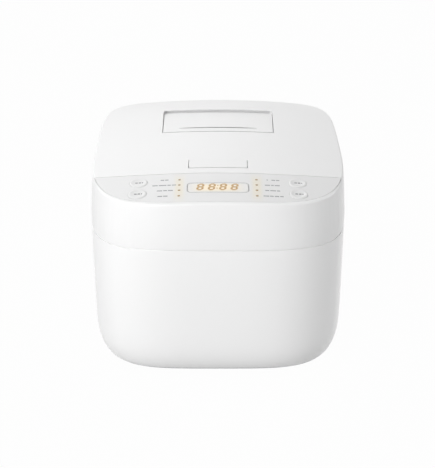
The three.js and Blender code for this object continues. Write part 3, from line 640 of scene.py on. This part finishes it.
def coil(name, radius, wire, length, turns):
    """A coil spring about the Z axis, from the origin up, with closed ends."""
    piece = circle(name, 10, wire, location=(radius, 0, wire), rotation=(pi / 2, 0, 0))
    bpy.ops.object.transform_apply()
    rise = (length - 2 * wire) / turns
    apply_modifier(
        piece, "SCREW", angle=tau, screw_offset=rise, iterations=turns, steps=24, render_steps=24, axis="Z")
    with editing(piece):
        bpy.ops.mesh.select_all(action="DESELECT")
        bpy.ops.mesh.select_non_manifold()
        bpy.ops.mesh.edge_face_add()
    return outward(piece)


def laid_along_x(piece, x, y, z):
    """Turns a piece made about the Z axis to lie along X, from x on, on the line at y and z."""
    return reshape(piece, lambda u, v, w: (x + w, y + v, z - u))


def cap_block(name, inset, z, front_corner=0.8, back_corner=3, back_gap=0, front_gap=0):
    """A block with the steam cap's outline, which widens to the back."""
    front, back = CAP_HALF_WIDTH - inset, CAP_REAR_HALF_WIDTH - inset
    low, high = CAP_FRONT + inset + front_gap, CAP_BACK - inset + back_gap
    corners = [(-front, low, front_corner), (front, low, front_corner),
               (back, high, back_corner), (-back, high, back_corner)]
    return prism(name, eased(corners), *z)


def knuckle(x, web):
    """A round end about the hinge's axis with the web that carries it, bored for the pin."""
    return cut(fused(rod("knuckle", KNUCKLE, x, *PIVOT, 0, 48), web), bore(PIN_RADIUS + 0.3, *PIVOT, 40))


def hinge_relief():
    """What the lid's lower rear edge loses, so that it can turn about the hinge."""
    half_length, behind, below = HALF_WIDTH + 1, HALF_DEPTH + 4, LID_BOTTOM - 3
    swing = arc(RELIEF, range(-90, 1, 5), *PIVOT)
    points = [*swing, (behind, PIVOT_Z), (behind, below), (PIVOT_Y, below)]
    return prism("hinge_relief", points, -half_length, half_length, "X")


def ear_notches():
    """Room in the lid for the hinge ears."""
    y, z = (PIVOT_Y - KNUCKLE - 1.6, HALF_DEPTH + 3), (134, PIVOT_Z + KNUCKLE + 1.6)
    return [block("ear_notch", x, y, z, 1.5, 0)
            for x in ((-EAR_OUT - 0.8, 0.6 - EAR_IN), (EAR_IN - 0.6, EAR_OUT + 0.8))]


def panel_space(gap, low, high):
    """The control panel's outline as a solid, up to its straight rear line."""
    def edge(level):
        return lambda turn: (*outline(PANEL_INSET - gap, turn, PANEL_DEEPER), level)
    made = ringed("panel_space", [edge(low), edge(high)])
    with editing(made):
        bpy.ops.mesh.bisect(
            plane_co=(0, PANEL_LINE + gap, 0), plane_no=(0, 1, 0), clear_outer=True, use_fill=True)
    return outward(made)


# ---- Lid cover, shaped flat ----
BUTTON_HOLE = BUTTON_HALF_WIDTH + 0.55, BUTTON_FRONT - 1.25, BUTTON_BACK + 0.1  # half width, front and back
POCKET_TOP = 192


def lid_openings():
    """What the lid's skin loses for the panel, the button and the steam cap, with their shadow gaps."""
    half_width, front, back = BUTTON_HOLE
    line, under, rear = PANEL_LINE, -PANEL_THICKNESS, CAP_BACK + POCKET_GAP
    undercut = [(rear - 1, -0.3), (rear, -0.3), (rear + 1.7, -SKIN), (rear + 1.7, -6), (rear - 1, -6)]
    undercut_end = CAP_REAR_HALF_WIDTH - 1.5
    return [
        panel_space(PANEL_GAP, under - 0.3, 6),
        block("panel_seam", (-118.5, 118.5), (line, line + 0.8), (under - 0.2, 5)),
        block("panel_undercut", (-117, 117), (line + 0.1, line + 2), (under - 0.1, -0.3)),
        block("button_hole", (-half_width, half_width), (front, back), SKIN_THROUGH, 1.4, 0.4),
        cap_block("pocket_hole", -POCKET_GAP, SKIN_THROUGH, 1.2, 3.4),
        prism("finger_undercut", undercut, -undercut_end, undercut_end, "X")]


def at_an_opening(place):
    """Whether a place is on the top edge of the button's hole or of the steam cap's."""
    half_width, front, back = BUTTON_HOLE
    at_button = abs(place.x) < half_width + 0.1 and front - 0.1 < place.y < back - 0.3
    at_cap = abs(place.x) < CAP_REAR_HALF_WIDTH + 1 and CAP_FRONT - 1 < place.y < CAP_BACK + 1
    return abs(place.z) < 0.01 and (at_button or at_cap)


def cap_pocket():
    """The steam cap's pocket, hung below the skin, with a hole for the steam tube."""
    pocket = cap_block("pocket", -POCKET_GAP - WALL, (POCKET_FLOOR - WALL, POCKET_TOP), 3, 5, 2)
    cut(pocket, cap_block("pocket_space", -POCKET_GAP, (POCKET_FLOOR, 200), 1.2, 3.4, 1.3),
        *posts("tube_hole", 9, [(0, TUBE_Y)], (POCKET_FLOOR - 8, POCKET_FLOOR + 12)))
    return reshape(gridded(soften(pocket, 0.4)), lambda x, y, z: (
        x, y, dome(x, y) - SKIN + 0.1 + 0.3 * (z - POCKET_TOP) if z > POCKET_TOP - 2 else z))


def make_lid_cover():
    outside = stack(lid_wall, (0.3, 0), (0.09, 0.0017), (0, 0.006), (0, 0.25), (0, 0.5), (0, 0.78))
    inside = [
        *stack(lid_top, (5.5, -SKIN), (3.5, -3.7), (2.6, -5)),
        *stack(lid_wall, (WALL, 0.85), (WALL, 0.4), (WALL, 0.012), (WALL - 0.4, 0))]
    cover = ringed("lid_cover_shell", [*inside, *outside, *SHOULDER_RINGS])
    cut(cover, *lid_openings())
    ease_rim(cover, at_an_opening)
    cover = joined(drape(gridded(cover)), cap_pocket())
    cut(cover, hinge_relief(), *ear_notches())
    settle(cover, "lid", "white_lid", "lid_cover")


def make_hinge_skirt():
    """A rounded skirt that closes the lid's rear edge above the body, and turns with it about the hinge."""
    turns = range(-4, -89, -6)
    section = [*arc(RELIEF - 0.35, turns, *PIVOT), *arc(RELIEF - 1.6, reversed(turns), *PIVOT)]
    parts = [prism("hinge_skirt", section, *x, "X")
             for x in ((0.8 - EAR_IN, EAR_IN - 0.8), (-SKIRT_END, -EAR_OUT - 1), (EAR_OUT + 1, SKIRT_END))]
    skirt = common(joined(*parts), ringed("skirt_limit", stack(flat_ring, (0.3, 130), (0.3, 165))))
    settle(soften(skirt, 0.25), "lid", "white_lid")


# ---- Control panel ----
PRINT_LOW, PRINT_HIGH = -0.05, 0.06  # prints go a little into what they lie on, and stand proud of it
FIGURE_WIDTH, FIGURE_HEIGHT, BAR_WIDTH, BAR_GAP = 4.7, 10.6, 2.15, 0.25
FIGURE_LEAN = 0.14  # to the right, for each millimetre of height
FIGURES_X, FIGURES_Y, FIGURES_Z = (-16.7, -5.8, 4.9, 15.7), PANEL_MIDDLE + 1.2, (-0.4, -0.05)
DOTS_X, DOTS_V, DOT_RADIUS = -0.6, (-2.6, 2.6), 0.8

# Printed dashes stand for the captions beside the lamps: from and to along X, row by row from the back.
CAPTIONS = (
    (((-54.9, -51.6), (-50.8, -47.3)),
     ((-62.5, -57.2), (-56.3, -49), (-48.1, -44.9), (-44, -39.8)),
     ((-57.8, -52.7), (-51.8, -48.2), (-47.4, -42.6)),
     ((-56.8, -52.4), (-51.6, -47.3))),
    (((46.4, 47.6), (51.1, 54.6), (55.4, 58.7)),
     ((44.5, 49.5), (50.4, 53), (53.8, 58.7)),
     ((44.5, 48.4), (49.3, 54.9), (55.7, 58.7)),
     ((42.6, 47.9), (48.8, 52.2), (53.1, 57.3), (58.2, 61.6))))
CAPTION_HALF_HEIGHT = 0.75
KEY_MARKS, KEY_MARK_HALF_HEIGHT = ((-3.2, -0.5), (0.2, 2.7), (3.4, 5.6)), 0.8


def make_fascia():
    panel = ringed("panel_fascia_plate", [lid_top(0, -6), *SHOULDER_RINGS])
    common(panel, panel_space(0, -PANEL_THICKNESS, 6))
    key_holes = posts("key_hole", KEY_RADIUS + KEY_GAP, KEYS.values(), SKIN_THROUGH, 72)
    lamp_holes = posts("lamp_hole", LAMP_RADIUS + 0.1, LAMPS, SKIN_THROUGH, 24)
    cut(panel, *lamp_holes, prism("window_hole", window_outline(0.35), *SKIN_THROUGH))
    soften(panel, 0.2)
    cut(panel, *key_holes)
    settle(drape(gridded(panel)), "lid", "white_panel", "panel_fascia")


def window_outline(gap=0):
    across, along = WINDOW_HALF_WIDTH + gap, WINDOW_HALF_DEPTH + gap
    return box(-across, across, PANEL_MIDDLE - along, PANEL_MIDDLE + along, WINDOW_CORNER + gap, steps=8)


def make_window():
    frame_line = prism("display_window_frame", window_outline(0.8), PRINT_LOW, PRINT_HIGH)
    cut(frame_line, prism("inside", window_outline(0.5), -1, 1))
    settle(drape(gridded(frame_line)), "lid", "grey_plastic", finish=PRINT_GREY)
    window = soften(prism("display_window_lens", window_outline(), -PANEL_THICKNESS, -0.08), 0.25, 3)
    settle(drape(gridded(window)), "lid", "pale_lens", "display_window")


def figure_bar(x, y, length, upright):
    half, thick = length / 2, BAR_WIDTH / 2
    points = [(-half, 0), (thick - half, -thick), (half - thick, -thick), (half, 0), (half - thick, thick),
              (thick - half, thick)]
    if upright:
        points = [(-v, u) for u, v in points]
    return prism("bar", [(x + u, y + v) for u, v in points], *FIGURES_Z)


def figure(middle):
    """A figure eight of seven bars, leaning to the right."""
    across, down = FIGURE_WIDTH / 2, FIGURE_HEIGHT / 4
    lying = [figure_bar(0, v, FIGURE_WIDTH - BAR_GAP, False) for v in (2 * down, 0, -2 * down)]
    upright = [figure_bar(u, v, 2 * down - BAR_GAP, True) for v in (down, -down) for u in (-across, across)]
    return reshape(joined(*lying, *upright), lambda x, y, z: (
        x + middle + FIGURE_LEAN * y, y + FIGURES_Y, z))


def make_figures():
    """Four figures, with two dots between the pairs."""
    places = [(DOTS_X + FIGURE_LEAN * v, FIGURES_Y + v) for v in DOTS_V]
    dots = posts("dot", DOT_RADIUS, places, FIGURES_Z, 16)
    figures = joined(*[figure(x) for x in FIGURES_X], *dots, name="display_figures")
    settle(drape(figures), "lid", "amber_lens", finish=AMBER_FIGURES)


def make_lamps():
    section = [(0, -3.2), (LAMP_RADIUS, -3.2), (LAMP_RADIUS, 0), (LAMP_RADIUS * 0.75, 0.12), (0, 0.2)]
    lamps = [on_top(turned("lamp", section, y=0, steps=20), *place) for place in LAMPS]
    settle(joined(*lamps, name="panel_lamps"), "lid", "amber_lens")


def printed(x, y, half_height, low=PRINT_LOW, high=PRINT_HIGH):
    """A dash of print."""
    return block("mark", x, (y - half_height, y + half_height), (low, high), min(0.45, half_height * 0.6))


def make_captions():
    marks = [drape(printed(x, row, CAPTION_HALF_HEIGHT))
             for side in CAPTIONS for row, dashes in zip(LAMP_ROWS, side) for x in dashes]
    settle(joined(*marks, name="panel_marks"), "lid", "grey_plastic", finish=PRINT_GREY)


def make_keys():
    """Dished caps with a stem, each with a mark printed on it."""
    radius, foot = KEY_RADIUS, KEY_RADIUS + 0.7
    section = [
        (0, -5.8), (2.4, -5.8), (2.4, -3.6), (foot, -3.6), (foot, -2.3), (radius, -2.3),
        (radius, 0.05, 0.05), (radius - 1.1, KEY_CROWN, 2.2), (radius / 2, 0.12, 6), (0, 0.05)]
    for node, place in KEYS.items():
        key = turned(node + "_cap", section, y=0, steps=72, ease=6)
        settle(on_top(key, *place), node, "white_panel", node)
        dashes = [printed(x, 0.2, KEY_MARK_HALF_HEIGHT, -0.3, PRINT_HIGH + 0.1) for x in KEY_MARKS]
        mark = joined(*dashes, name=node + "_mark")
        settle(on_top(mark, *place), node, "grey_plastic", finish=PRINT_DARK)


# ---- Open button, with its eyes and pusher below, and the latch ----
def make_button():
    half_width, front = BUTTON_HALF_WIDTH, BUTTON_FRONT
    button = block("open_button_cap", (-half_width, half_width), (front, BUTTON_BACK), (-2.4, 0), 1, 0.3)
    cut(button, block(
        "front_recess", (-half_width - 1, half_width + 1), (front - 1, front + 1.2), (-4, -0.3)))
    ease_rim(button, lambda place: place.z > -0.01 and place.y < BUTTON_BACK - 0.35)
    drape(gridded(button, 6))
    eyes = [block("eye", (x - 1.8, x + 1.8), (-72.6, -67.4), (187.9, dome(x, -68) - 1.2), 0.4)
            for x in (3.4 - half_width, half_width - 3.4)]
    for eye in eyes:
        cut(eye, bore(1.5, *BUTTON_PIN))
    tip, top = dome(0, front) - 8.3, dome(0, front) - 1.2
    pusher = prism("pusher", box(-83, -80.8, tip, top, 0.8, 0),
                   1 - LATCH_HALF_WIDTH, LATCH_HALF_WIDTH - 1, "X")
    settle(joined(button, *eyes, pusher), "button", "white_lid", "open_button")
    settle(rod("button_pin_rod", 1.2, (-33, 33), *BUTTON_PIN, 0.3, 24), "lid", "steel", "button_pin")


def make_latch():
    tip, front = dome(0, BUTTON_FRONT) - 8.7, CATCH_Y - 5.5
    width = -LATCH_HALF_WIDTH, LATCH_HALF_WIDTH
    hook = prism("latch_hook_arm", eased([
        (-80, tip, 1), (-85, tip, 1), (LATCH_Y - 6, LATCH_Z + 2, 4), (front, ROOF_TOP + 3, 5),
        (front, 128, 0.8), (CATCH_Y - 0.7, 126, 0.5), (CATCH_Y - 0.5, 129.4, 0.3),
        (front + 3.4, 130.2, 0.5), (front + 3.4, 152.5, 3), (-112, 154, 2),
        (LATCH_Y + 2, LATCH_Z - 4.5, 3)], 4), *width, "X")
    fused(hook, rod("hub", 5.2, width, LATCH_Y, LATCH_Z, 0))
    cut(hook, bore(1.8, LATCH_Y, LATCH_Z))
    settle(soften(hook, 0.35), "latch", "grey_plastic", "latch_hook")
    settle(rod("latch_pin_rod", 1.5, (-18.8, 18.8), LATCH_Y, LATCH_Z, 0.3, 24), "lid", "steel", "latch_pin")
    spring = laid_along_x(
        coil("latch_spring_coil", 2.7, 0.5, 4, 2), LATCH_HALF_WIDTH + 0.5, LATCH_Y, LATCH_Z)
    settle(spring, "lid", "steel", "latch_spring", weighted=False)
    catch = block("latch_catch_plate", (-11, 11), (CATCH_Y, CATCH_Y + 3), (129.5, 133.2), 0.5)
    settle(soften(catch, 0.4), "base", "steel", "latch_catch")


# ---- Steam cap: a cover with a slot, over a tray with the steam's way in ----
CAP_UNDER = 191  # the height that the cover's rim reaches down to
SLOT_HALF_LENGTH, SLOT_Y = 41, 24.8


def slot_outline(half_height):
    """The steam slot: a long low arc, narrower at its ends."""
    shares_along = [step / 20 for step in range(-20, 21)]
    return [(SLOT_HALF_LENGTH * share, SLOT_Y - 0.8 * share ** 2 + edge * (1 - 0.8 * share ** 6))
            for edge, side in ((-half_height, shares_along), (half_height, reversed(shares_along)))
            for share in side]


def make_cap_cover():
    cap = cap_block("steam_cap_shell", 0, (-10.5, 0), front_gap=1.2)
    half_width = CAP_HALF_WIDTH + 1
    cut(cap, cap_block("hollow", 2, (-12, -2.2), 0.5, 1.5, front_gap=2.2),
        block("front_recess", (-half_width, half_width), (CAP_FRONT - 1, CAP_FRONT + 3), (-12, -0.35)),
        prism("slot_relief", slot_outline(5), -3, -0.7),
        prism("slot", slot_outline(1.9), -8, 3))
    ease_rim(cap, lambda place: place.z > -0.01 and (
        abs(place.x) > 52 or place.y < CAP_FRONT + 1 or place.y > CAP_BACK - 4))
    drape(gridded(cap, 6), tan(asin(CAP_SINK / (CAP_BACK - CAP_FRONT))), CAP_FRONT)
    reshape(cap, lambda x, y, z: (x, y, CAP_UNDER if z < CAP_UNDER + 2.5 else z))
    settle(cap, "steam_cap", "white_lid", "steam_cap_cover")


def make_cap_tray():
    tube, low = [(0, TUBE_Y)], POCKET_FLOOR
    tray = cap_block("steam_cap_tray", 0.4, (low + 0.3, CAP_UNDER - 0.3), 0.8, 2.6)
    cut(tray, cap_block("room", 2.2, (low + 2, 200), 0.6, 1.5))
    fused(tray, *posts("steam_post", 12, tube, (low + 1, low + 9), 64))
    cut(tray, *posts("tube_room", 9.6, tube, (low - 1, low + 6), 64), *posts("steam_hole", 4, tube))
    settle(soften(tray, 0.45), "steam_cap", "white_lid", "steam_cap_base")


# ---- Lid liner and what hangs from it ----
def make_liner():
    low, top = LINER_BOTTOM, LINER_BOTTOM + WALL
    plate = ringed("lid_liner_plate", stack(
        flat_ring, (3.6, top), (3.2, top - 0.4), (3.2, low + 0.5), (3.35, low + 0.15), (3.7, low)))
    cut(plate, *posts("recess_hole", RECESS_RADIUS + 0.4, [(0, POT_Y)], steps=128))
    cup = turned("recess", [
        (RECESS_RADIUS, low, 0.6), (RECESS_RADIUS + 2, low), (RECESS_RADIUS + 2, ROOF_TOP, 2),
        (0, ROOF_TOP), (0, RECESS_TOP), (RECESS_RADIUS, RECESS_TOP, 1.2)], steps=128)
    arms = [knuckle(x, prism("arm_web", [(132, low), (145, low), (145, 145.5), (136, 145.5)], *x, "X"))
            for x in ((0.6 - EAR_IN, -24), (24, EAR_IN - 0.6))]
    towers = [prism("tower", box(-102, -94, 151, LATCH_Z + 4, 0, 3), x - 1.8, x + 1.8, "X")
              for x in (-LATCH_HALF_WIDTH - 6.8, LATCH_HALF_WIDTH + 6.8)]
    for tower in towers:
        cut(tower, bore(1.8, LATCH_Y, LATCH_Z))
    cut(plate, block("hook_slot", *HOOK_SLOT, THROUGH, 1), hinge_relief(), *ear_notches())
    cut(cup, *posts("tube_hole", 9.9, [(0, TUBE_Y)], steps=48), *ear_notches())
    settle(joined(plate, cup, *arms, *towers), "lid", "white_inner", "lid_liner")


def make_inner_lid():
    plate = turned("inner_lid_disc", [
        (0, 144.5), (82, 144.5, 3), (86, 142.9, 3), (96, 142.9, 0.3), (96, 144.1, 0.3), (86.6, 144.1, 3),
        (82.6, 145.7, 3), (0, 145.7)], steps=128)
    cut(plate, *posts("steam_hole", 1.6, arc(5, range(0, 360, 45), 0, TUBE_Y), steps=20),
        *posts("sensor_hole", 5.4, [(SENSOR_X, POT_Y)]))
    settle(plate, "lid", "bare_aluminium", "inner_lid_plate", finish=SPUN_ALUMINIUM, smooth=FINE)
    settle(turned("lid_gasket_ring", [
        (96.3, 142.2, 0.3), (99.5, 141.4, 1.5), (101, 138.6, 0.5), (104, 138.6, 0.6), (104, 140.6, 0.8),
        (102.5, 141.6, 0.8), (102.5, 144, 0.5), (105.1, 144.6, 0.5), (105.1, 147, 0.5), (95, 147, 0.5),
        (95, 144.6), (96.3, 144.6)], steps=128), "lid", "silicone", "lid_gasket")
    settle(turned("lid_sensor_probe", [
        (0, 142), (3.6, 142, 0.8), (5, 143, 0.6), (5, 149.7, 0.3), (0, 149.7)],
        SENSOR_X, steps=40), "lid", "steel", "lid_sensor")
    settle(turned("steam_seal_ring", [
        (8.6, 146, 0.4), (11.5, 146, 0.6), (11.5, 149.7, 0.6), (8.6, 149.7, 0.4)],
        0, TUBE_Y, 48), "lid", "silicone", "steam_seal")
    settle(turned("steam_tube_sleeve", [
        (6.5, 147.6, 0.4), (8.2, 147.6, 0.4), (8.5, 160), (8.5, 179.5, 0.6), (6.5, 179.5, 0.6)],
        0, TUBE_Y, 48), "lid", "silicone", "steam_tube")


# ---- Body shell ----
def make_shell():
    levels = [SHELL_BOTTOM, 9.5, 11.5, 14, 17, 20.5, 25, 31, 40, 55, 70, 90, 110, 125, SHELL_TOP - 0.3]
    tongue_top = SHELL_TOP + TONGUE
    shell = ringed("body_shell", stack(
        level_ring, *[(0, z) for z in levels],
        (0.09, SHELL_TOP - 0.09), (0.3, SHELL_TOP), (0.7, SHELL_TOP), (0.8, tongue_top),
        (WALL - 0.4, tongue_top), (WALL, tongue_top - 0.4),
        *[(WALL, z) for z in reversed(levels[1:-1])], (WALL, levels[0])), closed=True)
    x, low, high = INLET_X + 0.3, INLET_LOW - 0.3, INLET_HIGH + 0.3
    cut(shell, prism("inlet_hole", box(-x, x, low, high, 1.2), 140, 160, "Y"))
    section = [(2.3, 11), (5, 11, 0.5), (5, 62, 0.5), (0, 62), (0, 30), (2.3, 30)]
    pillars = [turned("pillar", section, *place, 24, 3) for place in POSTS]
    settle(joined(shell, *pillars), "base", "white_shell", "outer_shell", smooth=FINE)


# ---- Underside: pan, feet and screws ----
def make_pan():
    pan = ringed("base_pan_plate", stack(
        level_ring, (0.8, PAN_BOTTOM), (0, PAN_BOTTOM + 0.3), (0, 5.8), (0, 6.7), (0, 7.4), (0.3, 7.7)))
    fused(pan, *posts("boss", 7, POSTS, (7, 10.1)), *posts("stand", 6, LEGS, (7, 13.7)))
    vents = [block("vent", (x - 16, x + 16), (y - 2, y + 2), THROUGH, 1.95)
             for x in (-34, 34) for y in range(-22, 23, 11)]
    cut(pan, *vents, *posts("well", 4.3, POSTS, (0, 8.1)), *posts("screw_hole", 2.5, POSTS, steps=24),
        *posts("foot_hole", 3.4, FEET, steps=24))
    soften(pan, 0.3, angle=60)
    rim = ringed("pan_rim", stack(
        level_ring, (3, 7.2), (3, 10.6), (3.3, 11), (5.1, 11), (5.4, 10.6), (5.4, 7.2)), closed=True)
    settle(joined(pan, rim), "base", "grey_plastic", "base_pan")


def make_feet():
    section = [(0, 0.5), (5.2, 0.5, 0.3), (5.9, 0, 0.4), (8.3, 0, 0.6), (9, 4.7, 0.7), (3, 4.7),
               (3, 9, 0.5), (0, 9)]
    for number, place in enumerate(FEET, 1):
        settle(turned(f"foot_{number}_pad", section, *place, 48), "base", "rubber", f"foot_{number}")


def make_screws():
    section = [(0, 5.7), (3.6, 5.7, 0.7), (3.6, 7.8, 0.2), (2, 7.8), (2, 26, 1), (0, 26)]
    for number, (x, y) in enumerate(POSTS, 1):
        screw = turned(f"base_screw_{number}_pan_head", section, x, y, 40)
        cut(screw, *[block("cross", (x - u, x + u), (y - v, y + v), (5, 6.7))
                     for u, v in ((2, 0.4), (0.4, 2))])
        settle(screw, "base", "steel", f"base_screw_{number}")


# ---- Deck round the pot, and the hinge ----
def make_deck():
    rim, low, top = DECK_INSET, 125.5, DECK_TOP
    deck = ringed("deck_ring_plate", stack(
        flat_ring, (rim + 2, DECK_UNDER), (rim + 2, low + 0.4), (rim + 1.6, low), (rim + 0.4, low),
        (rim, low + 0.4), (rim, top - 0.5), (rim + 0.15, top - 0.15), (rim + 0.5, top)))
    cut(deck, *posts("opening", DECK_OPENING, [(0, POT_Y)], steps=128),
        block("hook_slot", *HOOK_SLOT, THROUGH, 1))
    soften(deck, 0.35, angle=60)
    bead = turned("bead", [
        (109.4, 135.6), (109.4, 136.6, 0.4), (111.2, 136.6, 0.4), (111.2, 135.6)], steps=128)
    ears = [knuckle(x, block("ear_web", x, (139, 150), (DECK_UNDER, PIVOT_Z)))
            for x in ((-EAR_OUT, -EAR_IN), (EAR_IN, EAR_OUT))]
    for ear in ears:
        soften(ear, 0.5)
    settle(joined(deck, bead, *ears), "base", "grey_plastic", "deck_ring")


def make_hinge():
    settle(rod("hinge_pin_rod", PIN_RADIUS, (-61, 61), *PIVOT, 0.5), "base", "steel", "hinge_pin")
    spring = laid_along_x(coil("hinge_spring_coil", 3.7, 0.6, 44, 12), -22, *PIVOT)
    settle(spring, "base", "steel", "hinge_spring", weighted=False)


# ---- Heating parts under the pot ----
SHROUD_FLOOR = 15.3  # where the legs and the guide stand


def make_heater():
    wall = DECK_OPENING - 1.3
    shroud = turned("heat_shroud_cup", [
        (0, 14), (wall - 3, 14, 7), (wall + 1, 22, 6), (wall + 1, 132.2, 0.6), (108.1, 132.2, 0.3),
        (108.1, 133.2, 0.3), (wall, 133.2, 1.2), (wall, 22.5, 6), (wall - 7.5, 15, 7), (0, 15)], ease=6)
    cut(shroud, *posts("wire_hole", 5, [(40, POT_Y)]))
    settle(shroud, "base", "bare_aluminium", "heat_shroud")
    settle(turned("heating_plate_disc", [
        (15, 22.2, 0.5), (72, 22.2, 3), (84, 29.2, 1.5), (84, 31.7, 1), (15, 31.7, 0.8)]),
        "base", "bare_aluminium", "heating_plate", finish=SPUN_ALUMINIUM)
    element = turned("heating_element_tube", round_outline(2.8, 58, 19.1, 20))
    settle(element, "base", "steel", "heating_element")
    low = SHROUD_FLOOR
    stud = [(0, low), (5, low, 0.6), (5, 21.9, 0.6), (2, 21.9), (2, 26.2, 0.5), (0, 26.2)]
    for number, place in enumerate(LEGS, 1):
        settle(turned(f"plate_leg_{number}_stud", stud, *place, 32), "base", "steel", f"plate_leg_{number}")
    settle(rod("thermal_fuse_body", 2.6, (-12, 12), -38, 19, 0.6, 24), "base", "brass", "thermal_fuse")


def make_sensor():
    """The sprung cap that the pot presses, on its guide."""
    low, flange = SHROUD_FLOOR, 16.5
    settle(turned("sensor_guide_stem", [
        (0, low), (11, low, 0.4), (11, flange, 0.4), (5, flange, 0.5), (5, 25.5, 0.6), (0, 25.5)],
        steps=40), "base", "bare_aluminium", "sensor_guide")
    spring_foot = flange + 0.3
    spring = coil("sensor_spring_coil", 7.4, 0.8, 12.1, 4)
    reshape(spring, lambda x, y, z: (x, y + POT_Y, z + spring_foot))
    settle(spring, "base", "steel", "sensor_spring", weighted=False)
    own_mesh(spring)
    settle(turned("sensor_cap_cup", [
        (12, 18.6, 0.3), (14, 18.6, 0.5), (14, 31.7, 1.4), (0, 31.7), (0, 29.5), (12, 29.5, 0.8)],
        steps=64), "sensor", "bare_aluminium", "sensor_cap")


# ---- Pot, with level marks up its inner wall ----
POT_INSIDE = POT_RADIUS - POT_WALL


def wall_mark(z, half_angle, steps):
    """A raised line on the back of the pot's inner wall."""
    turns = [90 - half_angle + 2 * half_angle * i / steps for i in range(steps + 1)]
    points = [*arc(POT_INSIDE + 0.3, turns, 0, POT_Y), *arc(POT_INSIDE - 0.12, reversed(turns), 0, POT_Y)]
    return prism("level_mark", points, z - 0.35, z + 0.35)


def make_pot():
    radius, low, inside_low = POT_RADIUS, POT_BOTTOM, POT_BOTTOM + POT_WALL
    settle(turned("inner_pot_bowl", [
        (0, low), (radius, low, POT_CORNER), (radius, LIP_UNDER, 0.8), (LIP_RADIUS, LIP_UNDER, 0.6),
        (LIP_RADIUS, LIP_TOP, 0.9), (radius + 1.5, LIP_TOP, 1.2), (POT_INSIDE, 135.9, 1.5),
        (POT_INSIDE, inside_low, POT_CORNER - POT_WALL), (0, inside_low)], steps=128, ease=10),
        "pot", "pot_coating", "inner_pot", smooth=FINE)
    long_marks = [wall_mark(z, 6, 10) for z in range(62, 118, 11)]
    short_marks = [wall_mark(z + 5.5, 3.5, 6) for z in range(62, 107, 11)]
    marks = joined(*long_marks, *short_marks, name="pot_level_marks")
    settle(marks, "pot", "grey_plastic", finish=PRINT_GREY)


# ---- Mains inlet ----
def make_inlet():
    housing = prism("inlet_housing_case", box(-INLET_X, INLET_X, INLET_LOW, INLET_HIGH, 1),
                    INLET_FRONT, INLET_BACK, "Y")
    flange = prism("flange", box(-20, 20, 36, 68, 2), 147.8, 150.3, "Y")
    socket = prism("socket", box(-13, 13, 43, 61, 3, 1.5), 136.3, 160, "Y")
    pin_holes = [prism("pin_hole", box(x - 1.4, x + 1.4, z - 2.4, z + 2.4), 130, 138, "Y")
                 for x, z in INLET_PINS]
    cut(fused(housing, flange), socket, *pin_holes)
    settle(soften(housing, 0.4), "base", "dark_plastic", "inlet_housing")
    for number, (x, z) in enumerate(INLET_PINS, 1):
        pin = prism(f"inlet_pin_{number}_blade", box(x - 1, x + 1, z - 2, z + 2), 125.3, 151.3, "Y")
        settle(soften(pin, 0.4), "base", "brass", f"inlet_pin_{number}")


for make in (
        make_lid_cover, make_hinge_skirt, make_fascia, make_window, make_figures, make_lamps, make_captions,
        make_keys, make_button, make_latch, make_cap_cover, make_cap_tray, make_liner, make_inner_lid,
        make_shell, make_pan, make_feet, make_screws, make_deck, make_hinge, make_heater, make_sensor,
        make_pot, make_inlet):
    make()


# ---- Camera, lights and floor ----
WHITE_LIGHT = (1, 1, 1, 1)
FLOOR_GLOW = 0.98  # the share of plain white in the floor, over its own shade
LAMPS_AIM = Vector((0, 0, 0.1))
STUDIO_LAMPS = {  # place and size in metres, and power
    "key light": ((-1.25, -1.25, 1.5), (1, 1), 17.2),
    "strip light": ((-0.55, -1.65, 0.45), (0.25, 1), 12.9),
    "low light": ((-0.4, -1.8, 0.2), (0.4, 0.36), 1.2),
    "side light": ((-0.75, 0, 0.8), (0.6, 0.8), 1.3),
    "rear light": ((-0.5, 1.5, 1.2), (1.6, 1.2), 11),
    "rim light": ((1.3, 0.3, 0.4), (0.5, 1), 7),
}

nothing_picked()
bpy.ops.object.camera_add(location=(0, -1.2907, 0.6201), rotation=(radians(67.7), 0, 0))
camera = bpy.context.object
camera.data.lens = 101
camera.data.shift_x = -0.0011
scene.camera = camera
scene.view_settings.view_transform = "Standard"

for lamp_name, (lamp_place, size, power) in STUDIO_LAMPS.items():
    bpy.ops.object.light_add(type="AREA", location=lamp_place)
    lamp = bpy.context.object
    lamp.name = lamp_name
    lamp.data.shape = "RECTANGLE"
    lamp.data.size, lamp.data.size_y = size
    lamp.data.energy = power
    lamp.rotation_euler = (LAMPS_AIM - Vector(lamp_place)).to_track_quat("-Z", "Y").to_euler()

bpy.ops.mesh.primitive_plane_add(size=8)
floor = bpy.context.object
floor.name = "floor"
paint = Finish("pale floor", Roughness=0.9, Specular_IOR_Level=0.1)
paint.varies(Base_Color=paint.mix(paint.noise(40, 2), linear(166), linear(170)))
glow = paint.node("ShaderNodeEmission", {}, {"Color": WHITE_LIGHT})
paint.end("Material Output", "Principled BSDF", paint.shown_plainly() * FLOOR_GLOW, glow)
floor.data.materials.append(paint.material)

scene.world = bpy.data.worlds.new("studio")
surround = Nodes(scene.world)
plain_light = surround.tree.nodes["Background"].inputs
plain_light["Color"].default_value = WHITE_LIGHT
plain_light["Strength"].default_value = 0.3
backdrop = surround.node("ShaderNodeBackground", {}, {"Color": WHITE_LIGHT})
surround.end("World Output", "Background", surround.shown_plainly(), backdrop)
